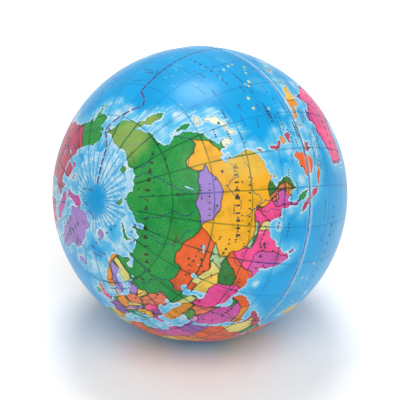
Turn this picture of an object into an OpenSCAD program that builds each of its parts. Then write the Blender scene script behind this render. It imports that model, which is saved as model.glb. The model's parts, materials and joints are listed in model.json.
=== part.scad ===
// Foam stress ball printed as a globe of the world, lying on its side.
// One moulded foam core carries two printed half films that meet along the equator.
// The globe's pole axis leans over, and the ball rests on a small patch that its own
// weight presses flat. The origin is the middle of that patch, and +Z is up.
// All sizes are in millimetres and all angles in degrees.

/* [Ball] */
// Outside diameter over the printed films
ball_d = 63; // [40:0.5:100]
// Width across the flat patch that the ball rests on
patch_d = 7; // [4:0.5:9]

/* [Printed films] */
// Thickness of each printed half film
film_t = 0.3; // [0.2:0.05:0.6]
// Bond line between the films and the foam
bond_gap = 0.03; // [0.02:0.005:0.05]

/* [Seam] */
// Gap between the edges of the two films around the equator
seam_gap = 0.5; // [0.3:0.05:1.2]
// Depth of the groove, from the films' outer face down to the foam's parting bead
groove_depth = 0.14; // [0.05:0.01:0.19]
// Width of the thickened rim along each film's edge
rim_w = 0.8; // [0.5:0.05:1.5]
// Height that the rim stands above the ball's surface
rim_rise = 0.1; // [0.05:0.01:0.2]

/* [How it lies] */
// Lean of the pole axis away from upright
pole_lean = 71; // [40:1:80]
// Heading of the pole axis, counter-clockwise from +X
pole_heading = 225; // [0:1:359]

/* [Hidden] */
$fn = 96;

ball_r = ball_d / 2;
core_r = ball_r - film_t - bond_gap;
// Height of the ball's middle, lowered by what the flat patch takes off
centre_h = sqrt(pow(ball_r, 2) - pow(patch_d / 2, 2));
// A cutting block this wide reaches past the ball on every side
block = 4 * ball_r;

// Places its children in the globe's own frame: pole along +Z, middle of the ball at 0
module globe_frame() {
    translate([0, 0, centre_h])
        rotate([0, pole_lean, pole_heading])
            children();
}

// A ball of radius r that is pressed flat at the height floor_h
module rested_ball(r, floor_h) {
    intersection() {
        translate([0, 0, centre_h])
            sphere(r = r);
        translate([-block / 2, -block / 2, floor_h])
            cube(block);
    }
}

// The foam body, flattened where the film under it is flat
module core_ball() {
    rested_ball(core_r, film_t + bond_gap);
}

// The bead of foam along the mould's parting line, which fills the bottom of the seam
module parting_bead() {
    bead_w = seam_gap - 2 * bond_gap;
    intersection() {
        sphere(r = ball_r - groove_depth);
        cylinder(r = block / 2, h = bead_w, center = true);
    }
}

// The thickened rim of a half film, rounded along the edge of the seam
module film_rim() {
    rim_r = rim_w / 2;
    rotate_extrude()
        translate([ball_r + rim_rise - rim_r, seam_gap / 2 + rim_r])
            circle(r = rim_r);
}

// A half film on the north side when side is 1, and on the south side when side is -1
module half_film(side) {
    turn = 90 - 90 * side;
    difference() {
        union() {
            intersection() {
                rested_ball(ball_r, 0);
                globe_frame()
                    rotate([turn, 0, 0])
                        translate([-block / 2, -block / 2, seam_gap / 2])
                            cube(block);
            }
            globe_frame()
                rotate([turn, 0, 0])
                    film_rim();
        }
        rested_ball(ball_r - film_t, film_t);
    }
}

// Moulded polyurethane foam ball with its parting bead
module foam_core() {
    color("ivory")
        union() {
            core_ball();
            globe_frame()
                parting_bead();
        }
}

// Printed film over the northern half
module north_film() {
    color("deepskyblue")
        half_film(1);
}

// Printed film over the southern half, which the ball rests on
module south_film() {
    color("dodgerblue")
        half_film(-1);
}

foam_core();
north_film();
south_film();
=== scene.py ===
"""Foam stress ball printed as a globe of the world: a moulded foam body under two printed half films.

The map is drawn as outlines in degrees, cut into the films' flat meshes, and the films
are then wrapped over the ball by a Geometry Nodes tree. Lengths are in metres unless a name says mm.
"""

import json
import math
import random

import bpy
import numpy as np
from bpy.props import FloatProperty, FloatVectorProperty, IntProperty, PointerProperty
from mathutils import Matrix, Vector
from mathutils.geometry import delaunay_2d_cdt
from mathutils.kdtree import KDTree

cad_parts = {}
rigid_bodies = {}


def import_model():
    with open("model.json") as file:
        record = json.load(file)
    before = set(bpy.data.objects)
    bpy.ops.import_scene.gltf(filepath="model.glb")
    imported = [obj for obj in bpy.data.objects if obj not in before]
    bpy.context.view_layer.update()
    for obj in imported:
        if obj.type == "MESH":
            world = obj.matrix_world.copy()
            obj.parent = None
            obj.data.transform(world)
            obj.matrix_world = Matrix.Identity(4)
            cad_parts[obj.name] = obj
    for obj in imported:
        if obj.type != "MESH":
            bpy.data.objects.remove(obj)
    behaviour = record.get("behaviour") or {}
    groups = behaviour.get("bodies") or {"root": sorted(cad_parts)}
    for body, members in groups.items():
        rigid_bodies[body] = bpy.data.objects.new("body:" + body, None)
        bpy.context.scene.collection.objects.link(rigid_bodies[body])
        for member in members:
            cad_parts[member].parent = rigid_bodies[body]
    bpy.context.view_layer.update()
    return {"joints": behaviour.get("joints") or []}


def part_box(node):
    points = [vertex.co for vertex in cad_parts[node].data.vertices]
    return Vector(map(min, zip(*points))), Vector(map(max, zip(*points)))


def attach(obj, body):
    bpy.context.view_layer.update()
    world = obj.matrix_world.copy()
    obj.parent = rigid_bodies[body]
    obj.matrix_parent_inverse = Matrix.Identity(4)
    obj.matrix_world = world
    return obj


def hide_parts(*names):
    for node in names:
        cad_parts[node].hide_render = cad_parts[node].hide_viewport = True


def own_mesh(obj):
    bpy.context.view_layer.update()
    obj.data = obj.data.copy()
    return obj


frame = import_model()

bl_info = {
    "name": "Globe Stress Ball",
    "version": (1, 0, 0),
    "blender": (4, 5, 0),
    "location": "3D View > Sidebar > Stress Ball",
    "description": "Builds a foam stress ball printed as a globe, with its two half films and its stage",
    "category": "Add Mesh",
}

MM = 0.001
NORTH, SOUTH = 1, -1

SQUEEZE = next(joint for joint in frame["joints"] if joint["name"] == "squeeze")
POLE = -Vector(SQUEEZE["axis"]).normalized()
LEAN = math.acos(POLE.z)
HEADING = math.atan2(POLE.y, POLE.x)
ROOT_BODY, MOVING_BODY = SQUEEZE["parent"], SQUEEZE["child"]


# ---------------------------------------------------------------- outlines, "latitude longitude" in degrees


def outline(text):
    """Points of an outline, from 'lat lon, lat lon' text."""
    return [tuple(float(n) for n in pair.split()) for pair in text.split(",")]


LANDS = {
    "Eurasia": """36 -5.5, 37 -9, 38.7 -9.4, 43 -9.2, 43.6 -6, 43.4 -2, 46 -1.2, 47.5 -2.7, 48.4 -4.7,
        48.7 -1.6, 49.7 -1.8, 49.4 .1, 50.9 1.6, 51.5 3.5, 53.2 5, 53.6 8, 55.5 8.2, 57.1 8.6, 57.6 10.6,
        56 10.3, 54.8 9.9, 54.2 11, 54.4 13.5, 54 14.3, 54.7 18, 54.5 19.7, 56 21, 57.7 21.8, 57 23.8,
        58.5 23.7, 59.4 24.5, 59.6 28, 60 30, 60.5 27.5, 60 23, 61 21.4, 63 21.5, 65 25.3, 65.8 24,
        64 20.7, 62.5 17.5, 60.6 17.3, 59.3 18.8, 57.7 16.7, 56.1 15.8, 55.4 14, 55.4 12.9, 57.7 11.8,
        59 11, 59.3 10.5, 58 7.2, 59 5.5, 61.5 5, 63.5 9, 66 12.5, 68.3 15, 70 20, 71 26, 70.5 31, 69 34,
        67.7 40.5, 66.4 40, 66.2 34.5, 64 35.5, 64.2 38, 65 40, 66 44, 68.5 44.5, 67.8 47, 68.3 52,
        68.8 57, 69.5 60.5, 68.5 66, 70.5 67, 73 70, 71.5 73, 68.5 73, 69 77, 72 77.5, 73 82, 75.5 90,
        76.5 98, 77.7 104, 76 111, 74 112, 73.5 118, 73 125, 71.5 129, 71.5 137, 72.5 141, 71.5 150,
        69.7 160, 70 170, 69 178, 66.5 189, 65.5 184, 64.5 182, 62.5 179.5, 60 170.5, 60 166, 58 162.5,
        56.2 163, 54.5 161.5, 51.1 156.9, 54 155.8, 57.5 157, 60.5 162, 62.4 164, 61 160, 60.5 155,
        59.3 149, 59.3 143, 56 137.5, 54 139.5, 53 141, 50 140.5, 47 138.5, 43.3 135, 42.8 132, 41 129.7,
        39.3 127.5, 37 129.4, 35.2 129.2, 34.4 126.5, 37 126.6, 38 124.9, 39.8 124.3, 39 121.5,
        40.8 121.5, 39.2 118, 37.8 119, 37.4 122.5, 35.5 119.5, 33 120.8, 31 121.9, 28.5 121.6, 25 119.3,
        22.7 115, 21.9 112, 20.4 110, 21.5 108.5, 19 105.7, 16 108.2, 12.5 109.3, 10.5 107, 8.7 104.9,
        10.5 104.3, 12.5 101.5, 13.4 100.5, 11.5 99.7, 9 99.5, 7 100.8, 5 103.3, 2.5 103.7, 1.4 104.1,
        3 101.3, 6 100.3, 8 98.3, 12 98.6, 16 97.6, 16 94.3, 20 93, 22.3 91.5, 21.7 88.5, 19.5 85.2,
        16.5 82, 13 80.2, 10 79.8, 8.1 77.5, 11 75.8, 15.5 73.8, 20 72.7, 22 72.4, 20.8 71, 22.3 69,
        24.5 67, 25.3 61.5, 26.8 57, 27 54, 30 50, 30 48, 27 49.8, 24.3 51.5, 24.5 54, 26.2 56.2,
        23.7 58.7, 20 58, 17 55, 15 51, 12.8 45, 13 43.3, 17 42.5, 21.3 39, 25 37, 28 34.6, 29.5 35,
        29.9 32.5, 31.2 32.5, 31.5 34.4, 36.6 36, 36.2 33, 36.7 30.6, 36.6 28, 39 26.5, 40.4 27.5, 41 29,
        41.3 31.5, 42 35, 41 39.5, 41.6 41.6, 43.5 39.5, 45 37, 47 38.5, 46.3 35, 45.3 35.8, 44.5 33.7,
        46.2 32, 46 30.7, 44 28.7, 42.5 27.6, 41.2 28.8, 40.8 26, 40.7 23.5, 39 23, 38 24, 36.6 22.8,
        37.5 21.3, 40 19.5, 42 19.2, 43.5 16, 45.3 14, 45.5 12.5, 44 12.5, 42 15, 41 17, 40.1 18.5,
        40.4 16.9, 38 16, 40 15.8, 41.3 13.2, 43 10.5, 44.3 8.8, 43.2 6.2, 43.4 4, 42 3.2, 40 0, 37.5 -1,
        36.7 -4""",
    "Africa": """35.8 -6, 35.2 -2, 36.9 4, 37.2 10, 34 10.2, 32.8 13, 30.3 19, 32.8 22, 31 26.5, 31.3 30,
        31.3 32.3, 29.8 32.6, 27 34, 23 35.7, 18 38.2, 15 40, 12.5 43.2, 11.3 43.5, 10.7 45, 11.9 51.2,
        8 50, 4 47.5, 0 42.6, -4.5 39.6, -8 39.4, -12 40.5, -15 40.7, -18 37, -20 34.8, -24 35.4,
        -26 32.8, -29 32, -33 27.8, -34.2 23, -34.8 20, -33 18, -29 16.8, -23 14.4, -17.5 11.8, -12 13.6,
        -6 12.3, -1 8.8, 4 9.6, 4.4 7, 6.3 4.5, 6 1, 4.8 -2, 5.2 -5, 4.4 -7.6, 7 -11.5, 9.5 -13.5,
        12.3 -16.6, 14.7 -17.4, 19 -16.3, 21 -17, 24 -15.8, 27.8 -13, 30 -9.7, 33.5 -8""",
    "North America": """71.3 -156, 70.2 -148, 69.7 -141, 69 -135, 70 -128, 68 -115, 68 -108, 67.8 -98,
        69.5 -94, 71.5 -95, 69 -88, 69 -82, 66.5 -86, 64 -88, 61 -94.5, 58.7 -94.5, 57 -92, 55.2 -82.5,
        52 -80, 51.3 -79.5, 54.5 -79.5, 58.7 -78.5, 62.4 -77.5, 60.8 -69.8, 58.5 -67, 60.3 -64.5,
        56.5 -61.5, 53.5 -56, 51.5 -56.5, 50.2 -62, 50.2 -66.5, 47.4 -70, 49 -65, 46 -64.5, 45.5 -61,
        43.6 -65.8, 44.8 -67, 43.5 -70.3, 41.7 -70, 41 -72.5, 40.5 -74, 37 -76, 35.2 -75.6, 33.8 -78.2,
        32 -81, 30 -81.3, 26.8 -80, 25.2 -80.7, 27 -82.5, 30 -84, 30.4 -88, 29.2 -90, 29.5 -94,
        27.8 -97.3, 24 -97.7, 21 -97.3, 18.8 -95.8, 18.5 -92.5, 21 -90.4, 21.4 -87, 18.3 -88, 15.9 -88.8,
        15.9 -84, 11 -83.7, 9 -81.5, 9.5 -79.5, 8.5 -77.3, 7.5 -78, 8.8 -79.5, 7.4 -80.5, 8.3 -83,
        10 -85.7, 13 -87.6, 14 -91.7, 16 -95, 17 -100.5, 19.5 -104.9, 21 -105.5, 25 -108.2, 28 -111.3,
        31.3 -113.3, 31 -114.8, 27 -111.9, 23 -109.5, 24.8 -112.1, 28 -114.9, 32.5 -117.2, 34.5 -120.5,
        38 -123, 42.5 -124.4, 48 -124.6, 47.5 -122.6, 49 -123, 52 -128, 55 -130.5, 58.5 -136.5, 60 -143,
        60.5 -147, 59.5 -151.5, 61 -151, 58 -155, 56 -159, 54.8 -163.5, 57.5 -157.8, 58.8 -157.5, 59 -162,
        61 -166, 63.3 -164, 64.5 -161, 65.5 -167.8, 66.3 -162, 68.3 -166.5, 70.5 -161""",
    "South America": """8.5 -77.3, 11 -74.8, 12.3 -71.5, 11 -71.3, 10.7 -67, 10.5 -62.5, 8.5 -60, 6 -55,
        4.5 -51.5, 0 -50, -1 -47.5, -2.7 -43, -3.5 -38.8, -5.2 -35.3, -8 -34.8, -13 -38.5, -18 -39.5,
        -22 -41, -23.5 -45, -26 -48.5, -29 -49.5, -33 -52.5, -35 -55, -34.3 -58.3, -37 -56.8, -39 -61,
        -41 -64.5, -43 -64.5, -46 -67, -50 -68.5, -52.4 -68.5, -55 -66, -55.5 -69, -53 -73, -50 -75.3,
        -46 -75, -42 -73.8, -37 -73.5, -30 -71.5, -23.5 -70.4, -18.3 -70.4, -16 -74, -14 -76.3, -8 -79,
        -5 -81.2, -2.5 -80, 1 -80, 4 -77.4, 7 -77.8""",
    "Australia": """-10.8 142.5, -14.5 144, -19 146.5, -23 151, -27 153.3, -32 152.8, -37.5 150,
        -39 146.4, -38.3 141.5, -35.5 137.8, -33 137.8, -35 135.8, -32 132.5, -31.5 130, -32.3 126,
        -34 123, -35 118, -34.3 115.2, -31.5 115.7, -26 113.6, -22 114, -20 119, -18 122.2, -14.5 126,
        -14.8 129.5, -12 131, -12 136.5, -15 135.5, -17.7 140, -14 141.6""",
    "Greenland": """83.5 -33, 81.5 -14, 77 -18.5, 71 -22, 68.5 -27, 65.5 -38, 60 -43.5, 62.5 -50.5,
        67 -53.8, 70.5 -54, 75.5 -59, 76.5 -69, 79 -66, 81.8 -62, 83 -45""",
    "Antarctica": """-63.5 -57, -66 -63, -69 -68, -73 -75, -73 -90, -75 -102, -74 -115, -76 -135,
        -77.5 -152, -78 -165, -78 176, -77 165, -72 170, -69.5 160, -67 145, -66 130, -66.5 115, -66 95,
        -69 77, -67 65, -66 55, -68.5 38, -69.5 20, -70.5 0, -71 -10, -75 -25, -78 -38, -77.5 -55,
        -74 -61, -69 -62, -65 -59""",
    "Great Britain": """50 -5.5, 51.2 -3, 51.7 -5, 53.3 -4.4, 55 -5, 58.5 -5, 58.6 -3, 57.5 -2, 55 -1.5,
        53 .3, 52.5 1.7, 51 1.3""",
    "Ireland": "51.5 -10, 54.3 -10, 55.3 -7.3, 54 -5.8, 52.2 -6.4",
    "Iceland": "63.5 -19, 64 -22.5, 65.5 -24, 66.3 -21, 66.3 -16, 65 -13.7, 64 -16",
    "Svalbard": "76.6 16.5, 79 11, 80.4 20, 79 25, 77.5 22",
    "Novaya Zemlya": "70.7 57.5, 72 52, 75 57, 77 68, 75.5 64, 72.5 56",
    "Severnaya Zemlya": "78.2 99, 79.5 92, 81 96, 79 105",
    "New Siberia": "73.5 141, 75.8 138, 75.6 146, 74 148",
    "Honshu": """31.2 130.5, 33.5 129.8, 34.5 132, 35.6 135.5, 37.3 137, 39 139.8, 41.4 141, 39.6 142,
        37 141, 35.2 140.6, 34.7 138, 33.5 135.8, 33.6 133, 32 131.6""",
    "Hokkaido": "42 140, 43.3 140.5, 45.4 141.8, 44 144.5, 43.2 145.5, 42 143.2, 42.5 141",
    "Sakhalin": "46 142, 50 142.2, 54.3 142.5, 50 143.7, 46.5 143.5",
    "Taiwan": "22 120.8, 24 120.2, 25.2 121.7, 23.5 121.5",
    "Hainan": "18.3 109.2, 20 109.5, 19.5 110.8",
    "Luzon": "18.5 120.8, 16 119.9, 13.8 120.6, 12.8 123.9, 15 121.6, 18.4 122.2",
    "Visayas": "11.8 122, 9.6 122.5, 10.2 125, 12.5 125.2",
    "Mindanao": "6 125.5, 7.5 122, 8.6 123.5, 9.5 125.5, 7 126.5",
    "Borneo": "7 117, 5 119, 2 118, -1 117.5, -4 115.5, -3 111.8, -1.5 110, 1.5 109, 2.5 111.5, 5 115",
    "Sumatra": "5.6 95.3, 5 97.8, 2 101, -1.5 104.3, -5.8 105.8, -4 102.2, -1 100.4, 2 98.5",
    "Java": "-6.7 105.3, -6 107, -6.8 111, -7.7 114.4, -8.5 114, -8 109, -7.3 106.5",
    "Sulawesi": """1.4 125, .4 123.5, .3 120.8, -1 121.4, -1 123.2, -2.5 121.9, -5 122.5, -3 121,
        -5.5 120.3, -3 118.9, .8 119.9""",
    "Sunda Isles": "-8.3 116, -8.2 119, -8.3 122.8, -9 121, -8.9 117.5",
    "Timor": "-8.5 127, -10.3 123.7, -9.6 124.9",
    "Halmahera": "2 128, -.8 127.9, .5 128.8",
    "Seram": "-2.9 128.2, -3 130.8, -3.7 129",
    "New Guinea": """-.8 131.5, -.8 134, -3.3 135.2, -1.6 138, -3 142, -5 145.7, -6.7 147.5, -10.3 150.5,
        -9 147, -7.8 144.5, -9.2 142, -8.2 138, -5.5 138, -4.3 135, -3.8 133""",
    "New Britain": "-4.3 152, -5.6 150, -5.8 148.5, -6.3 149.5, -5.6 151.6",
    "Solomons": "-6.8 156, -9.6 161, -10.5 162, -8.5 157.5",
    "New Caledonia": "-20.2 164.2, -22.3 167, -21.3 165",
    "New Zealand North": "-34.5 172.8, -36.8 175.8, -37.7 178.3, -41.4 175.3, -39.3 173.8, -38 174.8",
    "New Zealand South": "-40.7 172.7, -41.7 174.2, -44 172.6, -46.5 169, -45.8 166.5, -43 170.3",
    "Tasmania": "-40.8 144.8, -41 148.2, -43.6 146.8",
    "Ceylon": "9.6 80.2, 7.5 81.8, 6 80.8, 8 79.8",
    "Madagascar": "-12 49.3, -15.5 50.3, -25 47, -25 44.2, -21 43.4, -16 45",
    "Cuba": "22.6 -83.9, 23.1 -81, 20.4 -74.5, 20 -77.3, 22 -80.5",
    "Hispaniola": "19.8 -73, 19.2 -69, 18.2 -70.5, 18.2 -74.3",
    "Jamaica": "18.5 -78, 18.2 -76.4, 17.8 -77.5",
    "Newfoundland": "51.5 -55.6, 49.5 -53.9, 46.8 -53.2, 47.6 -59, 50 -57.5",
    "Vancouver": "50.7 -128, 48.5 -123.8, 48.8 -125.5",
    "Baffin": """73.7 -80, 72.5 -76, 70 -68, 66.5 -61.7, 63 -65, 65.5 -73, 68 -74, 69.8 -80, 71 -86,
        73.5 -86""",
    "Victoria": "73.2 -117, 73 -105, 69 -104, 68.8 -115, 71 -118",
    "Banks": "74 -121, 73 -117.5, 71.2 -123, 73 -125",
    "Ellesmere": "83 -70, 82 -62, 79 -74, 76.4 -80, 76.5 -89, 79.5 -87, 81.5 -90",
    "Devon": "75.7 -80, 74.6 -81, 74.7 -92, 76.3 -91",
    "Melville": "76.3 -108, 74.9 -106, 75 -113, 76.4 -116",
    "Southampton": "65.7 -85, 63.5 -81, 63.2 -86.5",
    "Sicily": "38.2 12.6, 38.2 15.6, 36.8 15",
    "Sardinia": "41.2 9.3, 39.1 9.4, 39.2 8.5, 40.9 8.3",
    "Crete": "35.5 23.7, 35.1 26.2, 34.9 24.8",
    "Cyprus": "35 32.4, 35.6 34.4, 34.7 33.3",
    "Hawaii": "20.2 -155.9, 19.4 -154.9, 19 -155.8",
    "Fiji": "-17.4 177.4, -17.5 178.7, -18.3 178",
    "Falklands": "-51.4 -61, -51.4 -58, -52.2 -59",
    "Galapagos": "0 -91.5, -.3 -90.3, -1 -91",
}

LAKES = {
    "Caspian": """47 51.5, 46 49, 44 47, 41.5 49, 40.3 50, 38.5 49, 36.7 50.5, 36.8 54, 39 53.3, 41 53,
        42.5 52, 44.5 51, 45.3 53""",
    "Aral": "46.6 60.5, 45 61.2, 43.8 59.5, 45.2 58.3",
    "Balkhash": "46.6 74, 46.9 78.5, 46 77, 45.6 74",
    "Baikal": "51.6 103.8, 53.3 107.6, 55.6 109.8, 54 109.6, 52.2 106.5",
    "Ladoga": "60 31, 61.6 30.6, 61 32.8",
    "Superior": "46.8 -92, 48.8 -88.5, 47.8 -84.8, 46.6 -86, 47 -89",
    "Michigan": "46 -85.5, 44.5 -87.7, 41.7 -87.3, 43.5 -86.4",
    "Huron": "46.1 -84, 45.3 -80.2, 43.2 -82, 45 -83.4",
    "Erie": "42.9 -79, 41.6 -83.2, 42.5 -81.5",
    "Great Bear": "66.8 -124, 66.4 -118.5, 65 -122",
    "Great Slave": "61.2 -117, 62.5 -112, 61.2 -113.5",
    "Winnipeg": "53.8 -98.8, 51 -96.6, 51.6 -98.6",
    "Victoria Nyanza": ".3 32, .2 34.2, -2.5 33.2, -1.5 31.8",
    "Chad": "14 13.3, 13.6 15, 12.8 14",
}

# The ink that fills a land wherever no country below covers it
LAND_INKS = {
    "Eurasia": "green", "Africa": "orange", "North America": "crimson", "South America": "forest",
    "Australia": "violet", "Greenland": "lavender", "Antarctica": "ice", "Great Britain": "pink",
    "Ireland": "green", "Iceland": "lavender", "Svalbard": "lavender", "Novaya Zemlya": "green",
    "Severnaya Zemlya": "leaf", "New Siberia": "leaf", "Honshu": "paper", "Hokkaido": "paper",
    "Sakhalin": "green", "Taiwan": "amber", "Hainan": "yellow", "Luzon": "crimson", "Visayas": "orange",
    "Mindanao": "crimson", "Borneo": "red", "Sumatra": "crimson", "Java": "red", "Sulawesi": "crimson",
    "Sunda Isles": "red", "Timor": "red", "Halmahera": "red", "Seram": "red", "New Guinea": "orange",
    "New Britain": "amber", "Solomons": "yellow", "New Caledonia": "magenta",
    "New Zealand North": "magenta", "New Zealand South": "magenta", "Tasmania": "pink",
    "Ceylon": "violet", "Madagascar": "amber", "Cuba": "yellow", "Hispaniola": "green",
    "Jamaica": "magenta", "Newfoundland": "pink", "Vancouver": "pink", "Baffin": "magenta",
    "Victoria": "crimson", "Banks": "magenta", "Ellesmere": "magenta", "Devon": "magenta",
    "Melville": "rose", "Southampton": "pink", "Sicily": "green", "Sardinia": "green",
    "Crete": "lavender", "Cyprus": "amber", "Hawaii": "violet", "Fiji": "orange", "Falklands": "pink",
    "Galapagos": "red",
}

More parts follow.
